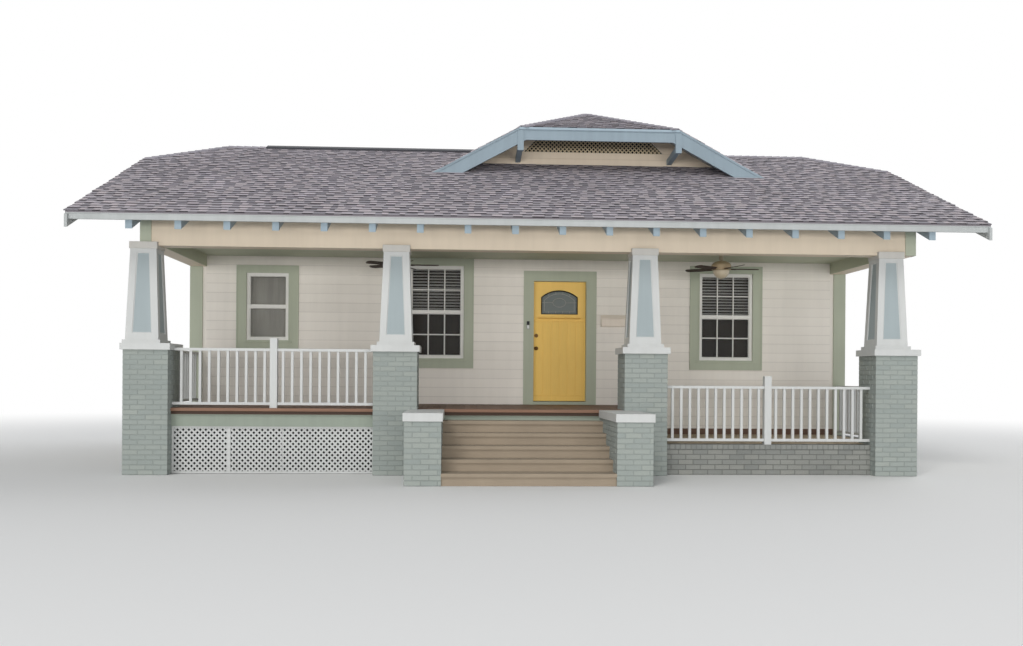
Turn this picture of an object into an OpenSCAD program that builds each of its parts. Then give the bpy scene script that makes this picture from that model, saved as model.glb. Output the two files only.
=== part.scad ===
// Single-storey bungalow with a full-width front porch under a clipped-gable roof.
// Millimetres, +Z up, ground at z = 0, the front faces -Y.

/* [House body] */
// Width over the side walls
house_w = 11000; // [10000:50:12000]
// Depth of the enclosed body behind the porch
body_d = 5160; // [4600:50:6000]
// Depth of the porch, beam face to front wall
porch_d = 2640; // [2300:20:2900]
// Height of the house floor and main deck above the ground
deck_h = 920; // [860:10:980]
// Thickness of the framed walls
wall_t = 150; // [120:5:180]
// Thickness of the house floor
floor_t = 120; // [100:5:150]
// Thickness of the brick foundation wall
foundation_t = 260; // [240:10:300]

/* [Main roof] */
// Height of the roof surface at the eaves
eave_z = 3560; // [3500:10:3620]
// Rise of the roof for each unit of run
roof_pitch = 0.42; // [0.38:0.01:0.46]
// Overhang of the eaves in front and behind
eave_over = 610; // [540:10:680]
// Overhang of the gable ends
gable_over = 820; // [700:10:900]
// Thickness of shingles and sheathing, measured upright
roof_t = 40; // [30:5:60]
// Run of the clipped part at each gable end
clip_run = 1130; // [900:10:1300]
// Height of the fascia boards
fascia_h = 75; // [60:5:100]
// Thickness of fascia and rake boards
board_t = 40; // [30:5:50]
// Depth of the rake boards below the roof
rake_h = 190; // [150:10:230]
// Number of rafter tails along an eave
tail_count = 18; // [12:1:22]
// Reach of the end tails past the side walls
tail_out = 50; // [0:5:60]
// Width of a rafter tail
tail_w = 90; // [60:5:110]
// Depth of a rafter tail below the roof
tail_h = 205; // [160:5:230]
// Width of the ridge vent
vent_w = 300; // [240:10:360]
// Height of the ridge vent above the shingles
vent_h = 35; // [20:5:45]
// Distance of the ridge vent from the left end of the ridge
vent_in = 680; // [500:10:900]

/* [Dormer] */
// Centre of the dormer to the right of the house centre
dormer_x = 1200; // [900:20:1400]
// Distance of the dormer front behind the porch beam face
dormer_back = 2080; // [1800:20:2300]
// Half width of the dormer roof at its tips
dormer_half = 2740; // [2500:10:2900]
// Rise of the dormer roof for each unit of run
dormer_pitch = 0.54; // [0.50:0.01:0.58]
// Half width of the level fascia under the clipped front
dormer_fascia_half = 1300; // [1100:10:1400]
// Height of the level dormer fascia
dormer_fascia_h = 175; // [150:5:210]
// Depth of the dormer bargeboards, measured upright
dormer_barge_h = 225; // [190:5:280]
// Recess of the dormer wall behind the bargeboards
dormer_recess = 770; // [600:10:900]
// Thickness of the dormer wall
dormer_wall_t = 100; // [80:5:120]
// Width of the foot of the vent opening in the dormer wall
dormer_vent_w = 2400; // [2000:20:2440]
// Height of the vent opening
dormer_vent_h = 240; // [160:10:260]
// Inward lean of the ends of the vent for each unit of height
dormer_vent_lean = 1; // [0.5:0.1:1.2]
// Height of the vent above the main roof surface at the dormer wall
dormer_vent_up = 215; // [150:5:230]
// Thickness of the dormer vent panel
dormer_vent_t = 20; // [12:2:30]
// Width of the hanging post of a dormer bracket
bracket_w = 100; // [80:5:120]
// Depth of the hanging post
bracket_d = 100; // [80:5:120]
// Projection of the post in front of the fascia
bracket_proud = 20; // [10:5:30]
// Reach of the post below the level fascia
bracket_drop = 175; // [120:5:200]
// Height of the brace from the post back to the wall
brace_h = 90; // [60:5:110]
// Height of the foot of the brace above the shingles at the wall
brace_up = 25; // [10:5:50]

/* [Porch] */
// Inset of the left end column from the side of the house
column_1_in = 110; // [60:5:200]
// Inset of the right end column from the side of the house
column_4_in = 320; // [250:5:360]
// Shift of the left end column to the left of the middle of its pier
column_1_shift = 75; // [0:5:75]
// Shift of the right end column to the left of the middle of its pier
column_4_shift = 35; // [0:5:75]
// Middle of the entry bay to the right of the house centre
entry_x = -205; // [-300:5:-100]
// Spacing of the two columns beside the entry bay
entry_w = 3530; // [3400:10:3700]
// Distance of the column centres behind the beam face
column_back = 120; // [110:5:140]
// Width of the beam
beam_t = 240; // [200:10:260]
// Height of the underside of the beam
beam_z = 3180; // [3120:10:3220]
// Height of the underside of the porch ceiling
ceiling_z = 3370; // [3330:10:3420]
// Thickness of the porch ceiling
ceiling_t = 25; // [20:5:40]
// Width of a pier
pier_w = 605; // [560:5:640]
// Height of the top of a pier cap
pier_top = 1815; // [1750:5:1850]
// Thickness of a pier cap
pier_cap_t = 90; // [70:5:110]
// Overhang of a pier cap
pier_cap_over = 37; // [25:1:50]
// Height of the plinth under a column
plinth_h = 50; // [40:5:70]
// Width of the plinth under a column
plinth_w = 520; // [500:5:560]
// Width of a column at its foot
column_foot_w = 456; // [430:2:490]
// Width of a column at its head
column_head_w = 356; // [330:2:380]
// Projection of the capital around the head of a column
capital_over = 8; // [5:1:15]
// Height of the capital below the beam
capital_h = 45; // [30:5:60]
// Rise of the capital over the beam face
capital_lap = 45; // [30:5:60]
// Width of the edge boards around a column panel
panel_edge = 92; // [80:2:110]
// Height of the frame above a column panel
panel_top_edge = 56; // [40:2:110]
// Depth of a column panel
panel_t = 14; // [8:2:20]
// Thickness of the deck boards with their edge
deck_t = 85; // [70:5:100]
// Overhang of the deck edge in front of the beam face
deck_over = 30; // [20:5:60]
// Height of the skirt board below the deck
skirt_h = 170; // [140:5:200]
// Thickness of the skirt board
skirt_t = 38; // [30:2:50]
// Thickness of the lattice below the skirt
lattice_t = 20; // [16:2:30]
// Height of the floor of the lower bay
low_floor_h = 435; // [420:5:540]
// Thickness of the floor of the lower bay
low_floor_t = 90; // [70:5:110]
// Thickness of the brick base of the lower bay
base_t = 220; // [180:10:260]
// Height of the brick edge course
edge_course_h = 70; // [55:5:90]

/* [Steps] */
// Number of risers
riser_count = 6; // [5:1:7]
// Depth of a tread
tread_d = 310; // [280:5:330]
// Clear width between the cheek walls
step_w = 2240; // [2000:20:2400]
// Centre of the steps to the right of the middle of the entry bay
step_off = 20; // [-60:5:60]
// Width of a cheek wall
cheek_w = 460; // [420:10:480]
// Thickness of a cheek wall cap
cheek_cap_t = 105; // [80:5:120]
// Overhang of a cheek wall cap
cheek_cap_over = 22; // [15:1:30]
// Overhang of a tread over its riser
nosing = 25; // [15:5:35]
// Thickness of a tread
tread_t = 40; // [30:5:50]

/* [Railings] */
// Height of a railing above its floor
rail_h = 840; // [800:10:900]
// Height of a newel above its floor
newel_h = 985; // [940:5:1020]
// Width of a newel
newel_w = 100; // [90:5:120]
// Width of the rails
rail_w = 60; // [45:5:75]
// Height of the rails
rail_t = 38; // [28:2:45]
// Gap below the bottom rail
rail_gap = 45; // [30:5:60]
// Width of a baluster
baluster_w = 36; // [28:2:42]
// Largest spacing of the balusters
baluster_pitch = 128; // [115:1:140]

/* [Door] */
// Centre of the door to the right of the house centre
door_x = 620; // [520:10:720]
// Width of the door leaf
door_w = 914; // [860:2:940]
// Height of the door leaf
door_h = 2032; // [1980:2:2080]
// Thickness of the door leaf
door_t = 45; // [40:1:50]
// Clearance around the door leaf
door_gap = 8; // [6:1:10]
// Height of the threshold
threshold_h = 55; // [40:5:70]
// Thickness of the door jambs
jamb_t = 30; // [25:1:40]
// Width of the boards around the door
door_casing_w = 150; // [130:5:170]
// Width of the arched light
light_w = 600; // [540:10:620]
// Height of the arched light at its middle
light_h = 385; // [340:5:420]
// Rise of the arch of the light
light_rise = 110; // [80:5:140]
// Height of the foot of the light above the foot of the door
light_up = 1480; // [1440:10:1500]
// Radius of the door knob
knob_r = 32; // [28:1:36]
// Height of the knob above the foot of the door
knob_up = 890; // [850:10:930]
// Distance from the edge of the door to the knob
knob_in = 65; // [60:1:75]

// Number of hinges
hinge_count = 3; // [2:1:4]
// Height of a hinge
hinge_h = 100; // [80:5:120]
// Reach of a hinge leaf from the pin
hinge_w = 44; // [36:1:50]
// Radius of a hinge barrel
hinge_r = 9; // [8:0.5:10]
// Radius of a hinge pin
pin_r = 5; // [4:0.5:6]
// Running clearance around a hinge pin
pin_clear = 0.05; // [0.03:0.01:0.08]

/* [Windows] */
// Width of the boards around a window
casing_w = 165; // [140:5:180]
// Height of the board over a window
casing_head = 125; // [110:5:125]
// Thickness of the boards around openings
casing_t = 26; // [20:1:32]
// Width of the window frame members
sash_w = 48; // [40:1:60]
// Depth of the window frames
sash_d = 70; // [55:5:90]
// Setback of the window frames from the wall face
sash_back = 12; // [5:1:30]
// Thickness of the glass
glass_t = 6; // [4:1:8]
// Width of the corner boards
corner_board_w = 180; // [140:10:200]
// Thickness of the corner boards
corner_board_t = 24; // [18:2:30]
// Width of the corner boards of the porch beam
beam_board_w = 130; // [100:5:140]

/* [Ceiling fans] */
// Distance of the left fan from the door centre
fan_left_off = 2620; // [2400:10:2700]
// Distance of the right fan from the door centre
fan_right_off = 2410; // [2300:10:2550]
// Distance of the fans behind the beam face
fan_back = 1350; // [1250:10:1450]
// Radius of the canopy at the ceiling
fan_canopy_r = 70; // [60:1:80]
// Height of the canopy
fan_canopy_h = 45; // [35:5:60]
// Radius of the down rod
fan_rod_r = 13; // [11:1:16]
// Length of the down rod below the canopy
fan_rod_l = 95; // [80:5:190]
// Radius of the motor housing
fan_hub_r = 150; // [130:5:160]
// Height of the motor housing
fan_hub_h = 145; // [120:5:160]
// Radius of the glass bowl
fan_bowl_r = 125; // [120:5:140]
// Height of the glass bowl
fan_bowl_h = 125; // [100:5:130]
// Number of blades
blade_count = 5; // [3:1:6]
// Reach of the blades from the fan axis
blade_r = 600; // [540:10:660]
// Width of a blade
blade_w = 125; // [110:5:140]
// Thickness of a blade
blade_t = 8; // [6:1:12]
// Tilt of a blade
blade_tilt = 12; // [8:1:15]
// Height of the blades above the foot of the motor housing
blade_up = 32; // [24:2:40]
// Running clearance around the down rod
fan_clear = 0.05; // [0.03:0.01:0.08]
// Running gap above the glass bowl
fan_gap = 6; // [5:1:10]

/* [Wall fittings] */
// Width of the mailbox
mailbox_w = 400; // [360:10:420]
// Height of the mailbox
mailbox_h = 195; // [170:5:220]
// Depth of the mailbox
mailbox_d = 95; // [80:5:120]
// Distance of the mailbox centre from the door centre
mailbox_off = 895; // [860:5:940]
// Height of the foot of the mailbox above the deck
mailbox_up = 1325; // [1250:5:1400]
// Width of the doorbell
bell_w = 46; // [30:2:50]
// Height of the doorbell
bell_h = 130; // [110:2:140]
// Height of the doorbell above the deck
bell_up = 1275; // [1200:5:1350]

/* [Hidden] */

// The origin lies on the ground at the middle of the plan.
stair_run = (riser_count - 1) * tread_d;
beam_y = (stair_run + nosing + cheek_cap_over - (porch_d + body_d + eave_over + board_t)) / 2;
wall_y = beam_y + porch_d;
back_y = wall_y + body_d;
front_eave_y = beam_y - eave_over;
back_eave_y = back_y + eave_over;
ridge_y = (front_eave_y + back_eave_y) / 2;
half_w = house_w / 2;
rake_x = half_w + gable_over;
half_run = (back_eave_y - front_eave_y) / 2;
ridge_z = eave_z + roof_pitch * half_run;
clip_z = ridge_z - roof_pitch * clip_run;
plate_z = eave_z - roof_t + roof_pitch * eave_over;
gable_top_z = clip_z - roof_t + roof_pitch * gable_over;
reach = 3 * house_w;
seat = 0.3;

// Roof height on the front slope above a place along Y.
function roof_z(y) = eave_z + roof_pitch * (y - front_eave_y);

dormer_y = beam_y + dormer_back;
dormer_tip_z = roof_z(dormer_y);
dormer_peak_z = dormer_tip_z + dormer_pitch * dormer_half;
dormer_clip_z = dormer_tip_z + dormer_pitch * (dormer_half - dormer_fascia_half);
dormer_wall_y = dormer_y + dormer_recess;
dormer_vent_z = roof_z(dormer_wall_y) + dormer_vent_up;
dormer_soffit_z = dormer_clip_z - roof_t - seat;

column_x = [column_1_in - half_w, entry_x - entry_w / 2, entry_x + entry_w / 2, half_w - column_4_in];
column_y = beam_y + column_back;
post_x = [column_x[0] - column_1_shift, column_x[1], column_x[2], column_x[3] - column_4_shift];
capital_w = column_head_w + 2 * capital_over;
deck_right = column_x[2] + pier_w / 2;
deck_front = beam_y - deck_over;
low_right = column_x[3] - pier_w / 2;
step_left = entry_x + step_off - step_w / 2;
step_right = entry_x + step_off + step_w / 2;
riser_h = deck_h / riser_count;
step_foot_y = beam_y - stair_run;
skirt_z = deck_h - deck_t - skirt_h;
wall_foot = deck_h - floor_t;

door_foot = deck_h + threshold_h + door_gap;
door_open_w = door_w + 2 * (door_gap + jamb_t);
door_open_top = door_foot + door_h + door_gap + jamb_t;
door_left = door_x - door_w / 2;
door_y = wall_y + wall_t - door_t;
hinge_x = door_left + door_w + door_gap / 2;
hinge_y = wall_y + wall_t + hinge_r;
hinge_inset = 180;
leaf_t = 3;
knuckle_gap = 1;

fan_y = beam_y + fan_back;
fan_left_x = door_x - fan_left_off;
fan_right_x = door_x + fan_right_off;
fan_hub_z = ceiling_z - fan_canopy_h - fan_rod_l - fan_hub_h;
fan_bowl_z = fan_hub_z - fan_gap - fan_bowl_h;
finial_r = 11;

// Windows: wall, place along the wall, foot of the frame, width, height.
FRONT = 0;
BACK = 1;
LEFT = 2;
RIGHT = 3;
small_w = 690;
small_h = 1115;
small_z = 1970;
tall_w = 915;
tall_h = 1475;
tall_z = 1690;
middle_h = 1550;
side_y1 = wall_y + body_d * 0.27;
side_y2 = wall_y + body_d * 0.73;
back_x = house_w * 0.31;
WINDOWS = [
    [FRONT, -4255, small_z, small_w, small_h],
    [FRONT, -1460, tall_z, tall_w, middle_h],
    [FRONT, 3455, tall_z, tall_w, tall_h],
    [BACK, -back_x, tall_z, tall_w, tall_h],
    [BACK, 0, tall_z, tall_w, tall_h],
    [BACK, back_x, tall_z, tall_w, tall_h],
    [LEFT, side_y1, tall_z, tall_w, tall_h],
    [LEFT, side_y2, tall_z, tall_w, tall_h],
    [RIGHT, side_y1, tall_z, tall_w, tall_h],
    [RIGHT, side_y2, tall_z, tall_w, tall_h]
];

// A box from its lowest to its highest corner.
module box(low, high) {
    translate(low) cube(high - low);
}

// An outline in the Y-Z plane, run along X.
module run_x(x0, x1) {
    translate([x0, 0, 0]) rotate([90, 0, 90]) linear_extrude(x1 - x0) children();
}

// An outline in the X-Z plane, run along Y.
module run_y(y0, y1) {
    translate([0, y1, 0]) rotate([90, 0, 0]) linear_extrude(y1 - y0) children();
}

// Stands its children at a window: local X along the wall, local Y inwards from the outer face.
module at_window(w) {
    if (w[0] == FRONT) translate([w[1], wall_y, w[2]]) children();
    if (w[0] == BACK) translate([w[1], back_y, w[2]]) rotate([0, 0, 180]) children();
    if (w[0] == LEFT) translate([-half_w, w[1], w[2]]) rotate([0, 0, -90]) children();
    if (w[0] == RIGHT) translate([half_w, w[1], w[2]]) rotate([0, 0, 90]) children();
}

module window_holes(wall) {
    for (w = WINDOWS) if (w[0] == wall)
        at_window(w) box([-w[3] / 2, -wall_t, 0], [w[3] / 2, 2 * wall_t, w[4]]);
}

// The main roof's solid, lowered by drop, from its slopes down to a level foot.
module roof_block(drop, foot, x_end) {
    intersection() {
        run_x(-x_end, x_end) polygon([
            [front_eave_y, foot], [front_eave_y, eave_z - drop], [ridge_y, ridge_z - drop],
            [back_eave_y, eave_z - drop], [back_eave_y, foot]]);
        run_y(front_eave_y, back_eave_y) polygon([
            [-x_end, foot], [-x_end, clip_z - drop - roof_pitch * (x_end - rake_x)],
            [clip_run - rake_x, ridge_z - drop], [rake_x - clip_run, ridge_z - drop],
            [x_end, clip_z - drop - roof_pitch * (x_end - rake_x)], [x_end, foot]]);
    }
}

// The dormer's tent astride the ridge, lowered by drop, with clipped ends.
module dormer_block(drop, y_end) {
    slope = (dormer_peak_z - dormer_clip_z) / (ridge_y - dormer_y);
    end_z = dormer_clip_z - drop - slope * y_end;
    foot = eave_z;
    tip_x = dormer_half + drop / dormer_pitch;
    intersection() {
        run_y(dormer_y - y_end, 2 * ridge_y - dormer_y + y_end) polygon([
            [dormer_x - dormer_half, foot], [dormer_x - dormer_half, dormer_tip_z - drop],
            [dormer_x, dormer_peak_z - drop],
            [dormer_x + dormer_half, dormer_tip_z - drop], [dormer_x + dormer_half, foot]]);
        run_x(dormer_x - tip_x, dormer_x + tip_x) polygon([
            [dormer_y - y_end, foot], [dormer_y - y_end, end_z], [ridge_y, dormer_peak_z - drop],
            [2 * ridge_y - dormer_y + y_end, end_z], [2 * ridge_y - dormer_y + y_end, foot]]);
    }
}

// Repeats its children on the rear slope.
module front_and_rear() {
    children();
    translate([0, 2 * ridge_y, 0]) mirror([0, 1, 0]) children();
}

module foundation() {
    set_back = 20;
    color("gainsboro") difference() {
        box([set_back - half_w, wall_y + set_back, 0], [half_w - set_back, back_y - set_back, wall_foot]);
        box([foundation_t - half_w, wall_y + foundation_t, -1],
            [half_w - foundation_t, back_y - foundation_t, wall_foot + 1]);
        box([deck_right, wall_y - 1, low_floor_h], [half_w + 1, wall_y + wall_t, wall_foot + 1]);
    }
}

module house_floor() {
    color("burlywood") box([wall_t - half_w, wall_y + wall_t, wall_foot],
        [half_w - wall_t, back_y - wall_t, deck_h]);
}

module front_wall_left() {
    color("ivory") difference() {
        box([-half_w, wall_y, wall_foot], [door_x - door_open_w / 2, wall_y + wall_t, plate_z]);
        window_holes(FRONT);
    }
}

module front_wall_right() {
    color("ivory") difference() {
        union() {
            box([door_x + door_open_w / 2, wall_y, wall_foot], [half_w, wall_y + wall_t, plate_z]);
            box([deck_right, wall_y, low_floor_h], [half_w, wall_y + wall_t, wall_foot]);
        }
        window_holes(FRONT);
    }
}

module front_wall_over_door() {
    color("ivory") box([door_x - door_open_w / 2, wall_y, door_open_top],
        [door_x + door_open_w / 2, wall_y + wall_t, plate_z]);
}

module side_wall(wall) {
    x0 = wall == LEFT ? -half_w : half_w - wall_t;
    difference() {
        box([x0, wall_y + wall_t, wall_foot], [x0 + wall_t, back_y - wall_t, plate_z]);
        window_holes(wall);
    }
}

module left_wall() {
    color("ivory") side_wall(LEFT);
}

module right_wall() {
    color("ivory") side_wall(RIGHT);
}

module back_wall() {
    color("ivory") difference() {
        box([-half_w, back_y - wall_t, wall_foot], [half_w, back_y, plate_z]);
        window_holes(BACK);
    }
}

// Each end wall above the plates, with its top clipped under the hipped end.
module gable_walls() {
    shoulder = (gable_top_z - plate_z) / roof_pitch;
    color("ivory") for (x0 = [-half_w, half_w - wall_t])
        run_x(x0, x0 + wall_t) polygon([
            [beam_y, plate_z], [beam_y + shoulder, gable_top_z],
            [back_y - shoulder, gable_top_z], [back_y, plate_z]]);
}

// One L-shaped corner of two boards, its inner corner at the origin, open towards +X and +Y.
module corner_pair(width, height) {
    linear_extrude(height) polygon([
        [-corner_board_t, -corner_board_t], [width, -corner_board_t], [width, 0],
        [0, 0], [0, width], [-corner_board_t, width]]);
}

// Boards at the corners of the house and of the porch beam, up to the rafter tails.
module corner_boards() {
    tail_foot = plate_z - tail_h - roof_pitch * corner_board_t;
    color("darkseagreen") {
        translate([-half_w, wall_y, deck_h]) corner_pair(corner_board_w, beam_z - deck_h);
        translate([half_w, wall_y, low_floor_h])
            mirror([1, 0, 0]) corner_pair(corner_board_w, beam_z - low_floor_h);
        translate([-half_w, back_y, wall_foot])
            mirror([0, 1, 0]) corner_pair(corner_board_w, tail_foot - wall_foot);
        translate([half_w, back_y, wall_foot])
            rotate([0, 0, 180]) corner_pair(corner_board_w, tail_foot - wall_foot);
        difference() {
            union() {
                translate([-half_w, beam_y, beam_z]) corner_pair(beam_board_w, tail_foot - beam_z);
                translate([half_w, beam_y, beam_z])
                    mirror([1, 0, 0]) corner_pair(beam_board_w, tail_foot - beam_z);
            }
            for (x = post_x) capital_block(x);
        }
    }
}

module main_roof() {
    color("slategray") difference() {
        roof_block(0, eave_z - roof_t, rake_x);
        roof_block(roof_t, eave_z - 2 * roof_t, rake_x + 1);
    }
}

// A folded cap along the ridge, up to the valley of the dormer.
module ridge_vent() {
    half = vent_w / 2;
    foot_z = ridge_z - roof_pitch * half;
    valley = (dormer_peak_z - foot_z) / dormer_pitch;
    color("dimgray") run_x(clip_run + vent_in - rake_x, dormer_x - valley) polygon([
        [ridge_y - half, foot_z], [ridge_y, ridge_z], [ridge_y + half, foot_z],
        [ridge_y + half, foot_z + vent_h], [ridge_y, ridge_z + vent_h], [ridge_y - half, foot_z + vent_h]]);
}

module eave_fascia() {
    color("lightsteelblue") front_and_rear()
        box([board_t - rake_x, front_eave_y, eave_z - roof_t - fascia_h],
            [rake_x - board_t, front_eave_y + board_t, eave_z - roof_t]);
}

// Rafter ends that carry the eaves, cut plumb behind the fascia.
module rafter_tails() {
    tail_pitch = (house_w + 2 * tail_out - tail_w) / (tail_count - 1);
    tail_y = front_eave_y + board_t;
    top_z = roof_z(tail_y) - roof_t;
    color("lightsteelblue") front_and_rear()
        for (i = [0 : tail_count - 1]) {
            x0 = i * tail_pitch - half_w - tail_out;
            run_x(x0, x0 + tail_w) polygon([
                [tail_y, top_z - tail_h], [beam_y, plate_z - tail_h], [beam_y, plate_z], [tail_y, top_z]]);
        }
}

// Boards along the rakes, with a level board under each clipped end.
module rake_boards() {
    kink_y = front_eave_y + (clip_z - eave_z) / roof_pitch;
    color("lightsteelblue") for (x0 = [-rake_x, rake_x - board_t])
        run_x(x0, x0 + board_t) polygon([
            [front_eave_y - board_t, eave_z - roof_t - roof_pitch * board_t],
            [kink_y, clip_z - roof_t], [2 * ridge_y - kink_y, clip_z - roof_t],
            [back_eave_y + board_t, eave_z - roof_t - roof_pitch * board_t],
            [back_eave_y + board_t, eave_z - roof_t - rake_h],
            [2 * ridge_y - kink_y, clip_z - roof_t - rake_h], [kink_y, clip_z - roof_t - rake_h],
            [front_eave_y - board_t, eave_z - roof_t - rake_h]]);
}

module dormer_roof() {
    color("slategray") difference() {
        dormer_block(0, 0);
        dormer_block(roof_t, 1);
        roof_block(0, 0, rake_x);
    }
}

// Outline of the vent opening, with ends that lean inwards.
module vent_outline() {
    half = dormer_vent_w / 2;
    top_half = half - dormer_vent_lean * dormer_vent_h;
    translate([dormer_x, dormer_vent_z]) polygon([
        [-half, 0], [half, 0], [top_half, dormer_vent_h], [-top_half, dormer_vent_h]]);
}

module dormer_walls() {
    color("ivory") difference() {
        intersection() {
            dormer_block(roof_t + seat, 0);
            front_and_rear() box([-reach, dormer_wall_y, 0], [reach, dormer_wall_y + dormer_wall_t, reach]);
        }
        roof_block(-seat, 0, rake_x);
        front_and_rear() run_y(dormer_wall_y - 1, dormer_wall_y + dormer_wall_t + 1) vent_outline();
    }
}

// The front outline of the dormer: two sloping boards joined by a level one, notched for the posts.
module dormer_bargeboards() {
    top_z = dormer_soffit_z;
    edge_half = dormer_fascia_half - (dormer_barge_h - dormer_fascia_h) / dormer_pitch;
    tip_z = dormer_tip_z;
    tip_half = dormer_half - (roof_t + seat) / dormer_pitch;
    inner_half = tip_half - dormer_barge_h / dormer_pitch;
    color("lightsteelblue") difference() {
        front_and_rear() run_y(dormer_y, dormer_y + board_t) translate([dormer_x, 0])
            polygon([
                [-tip_half, tip_z], [-dormer_fascia_half, top_z], [dormer_fascia_half, top_z],
                [tip_half, tip_z], [inner_half, tip_z],
                [edge_half, top_z - dormer_fascia_h], [-edge_half, top_z - dormer_fascia_h],
                [-inner_half, tip_z]]);
        roof_block(-seat, 0, rake_x);
        front_and_rear() bracket_posts();
    }
}

// Posts that hang where the level fascia meets the sloping boards.
module bracket_posts() {
    y0 = dormer_y - bracket_proud;
    for (side = [-1, 1]) translate([dormer_x + side * dormer_fascia_half, 0, 0])
        box([-bracket_w / 2, y0, dormer_soffit_z - dormer_fascia_h - bracket_drop],
            [bracket_w / 2, y0 + bracket_d, dormer_soffit_z - dormer_pitch * bracket_w / 2]);
}

// The hanging posts with their braces, which run back and down to the foot of the dormer wall.
module dormer_brackets() {
    y0 = dormer_y - bracket_proud + bracket_d;
    front_z = dormer_soffit_z - dormer_fascia_h - bracket_drop + brace_up;
    wall_z = roof_z(dormer_wall_y) + brace_up;
    color("lightsteelblue") front_and_rear() {
        bracket_posts();
        for (side = [-1, 1]) translate([dormer_x + side * dormer_fascia_half, 0, 0])
            run_x(-bracket_w * 0.4, bracket_w * 0.4) polygon([
                [y0, front_z], [dormer_wall_y, wall_z],
                [dormer_wall_y, wall_z + brace_h], [y0, front_z + brace_h]]);
    }
}

// A latticed panel in each vent opening.
module dormer_vents() {
    color("wheat") front_and_rear()
        run_y(dormer_wall_y + dormer_vent_t, dormer_wall_y + 2 * dormer_vent_t) vent_outline();
}

// Clearance hole of a pier through what surrounds it.
module pier_columns(grow) {
    for (x = column_x)
        box([x - pier_w / 2 - grow, column_y - pier_w / 2 - grow, -1],
            [x + pier_w / 2 + grow, column_y + pier_w / 2 + grow, pier_top - pier_cap_t]);
}

module porch_deck() {
    color("saddlebrown") difference() {
        box([-half_w, deck_front, deck_h - deck_t], [deck_right, wall_y, deck_h]);
        pier_columns(0);
    }
}

// Boards under the edges of the main deck.
module deck_skirt() {
    color("darkseagreen") difference() {
        union() {
            box([-half_w, beam_y, skirt_z], [deck_right, beam_y + skirt_t, deck_h - deck_t]);
            box([-half_w, beam_y, skirt_z], [skirt_t - half_w, wall_y, deck_h - deck_t]);
            box([deck_right - skirt_t, beam_y, low_floor_h], [deck_right, wall_y, deck_h - deck_t]);
        }
        pier_columns(0);
    }
}

module porch_lattice() {
    x0 = column_x[0] + pier_w / 2;
    x1 = column_x[1] - pier_w / 2;
    y0 = column_y + pier_w / 2;
    color("white") {
        box([x0, beam_y + skirt_t, 0], [x1, beam_y + skirt_t + lattice_t, skirt_z + skirt_h / 2]);
        box([skirt_t - half_w, y0, 0], [skirt_t - half_w + lattice_t, wall_y, skirt_z + skirt_h / 2]);
    }
}

module lower_porch_floor() {
    color("peru") difference() {
        box([deck_right, beam_y + base_t, low_floor_h - low_floor_t], [half_w - base_t, wall_y, low_floor_h]);
        pier_columns(0);
    }
}

// Brick walls around the lower bay, with an edge course on top.
module lower_porch_base() {
    lip = 15;
    course_z = low_floor_h - edge_course_h;
    color("tan") difference() {
        union() {
            box([deck_right, beam_y, 0], [half_w, beam_y + base_t, course_z]);
            box([half_w - base_t, beam_y, 0], [half_w, wall_y, course_z]);
            box([deck_right, beam_y - lip, course_z], [half_w + lip, beam_y + base_t, low_floor_h]);
            box([half_w - base_t, beam_y - lip, course_z], [half_w + lip, wall_y, low_floor_h]);
        }
        pier_columns(0);
    }
}

module piers() {
    color("gainsboro") for (x = column_x)
        box([x - pier_w / 2, column_y - pier_w / 2, 0],
            [x + pier_w / 2, column_y + pier_w / 2, pier_top - pier_cap_t]);
}

module pier_caps() {
    half = pier_w / 2 + pier_cap_over;
    color("white") for (x = column_x)
        box([x - half, column_y - half, pier_top - pier_cap_t], [x + half, column_y + half, pier_top]);
}

// The outer form of a capital, from under the beam to over its face.
module capital_block(x) {
    translate([x, column_y, 0])
        box([-capital_w / 2, -capital_w / 2, beam_z - capital_h],
            [capital_w / 2, capital_w / 2, beam_z + capital_lap]);
}

// A tapered square post on a plinth, with a recessed panel on each face and a capital
// that laps over the beam.
module column(x) {
    foot_z = pier_top + plinth_h;
    head_z = beam_z - capital_h;
    h = head_z - foot_z;
    lean = (column_foot_w - column_head_w) / 2;
    lean_angle = atan2(lean, h);
    face_l = sqrt(h * h + lean * lean);
    foot_half = column_foot_w / 2;
    panel_foot = foot_half - panel_edge;
    panel_head = column_head_w / 2 - panel_edge;
    trapezoid = [[-foot_half, 0], [foot_half, 0], [foot_half - lean, h], [lean - foot_half, h]];
    color("white") translate([x, column_y, 0]) {
        difference() {
            translate([0, 0, foot_z]) intersection() {
                run_x(-foot_half, foot_half) polygon(trapezoid);
                run_y(-foot_half, foot_half) polygon(trapezoid);
            }
            for (turn = [0 : 90 : 270])
                rotate([0, 0, turn]) translate([0, -foot_half, foot_z]) rotate([90 - lean_angle, 0, 0])
                    translate([0, 0, -panel_t]) linear_extrude(2 * panel_t) polygon([
                        [-panel_foot, panel_edge], [panel_foot, panel_edge],
                        [panel_head, face_l - panel_top_edge], [-panel_head, face_l - panel_top_edge]]);
        }
        box([-plinth_w / 2, -plinth_w / 2, pier_top], [plinth_w / 2, plinth_w / 2, foot_z]);
    }
    color("white") difference() {
        capital_block(x);
        box([-half_w, beam_y, beam_z], [half_w, beam_y + beam_t, ceiling_z]);
    }
}

module column_1() {
    color("white") difference() {
        column(post_x[0]);
        box([-half_w, beam_y + beam_t / 2, beam_z], [beam_t - half_w, wall_y, ceiling_z]);
    }
}

module column_2() {
    column(post_x[1]);
}

module column_3() {
    column(post_x[2]);
}

module column_4() {
    color("white") difference() {
        column(post_x[3]);
        box([half_w - beam_t, beam_y + beam_t / 2, beam_z], [half_w, wall_y, ceiling_z]);
    }
}

module front_beam() {
    color("cornsilk") box([-half_w, beam_y, beam_z], [half_w, beam_y + beam_t, plate_z]);
}

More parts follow.
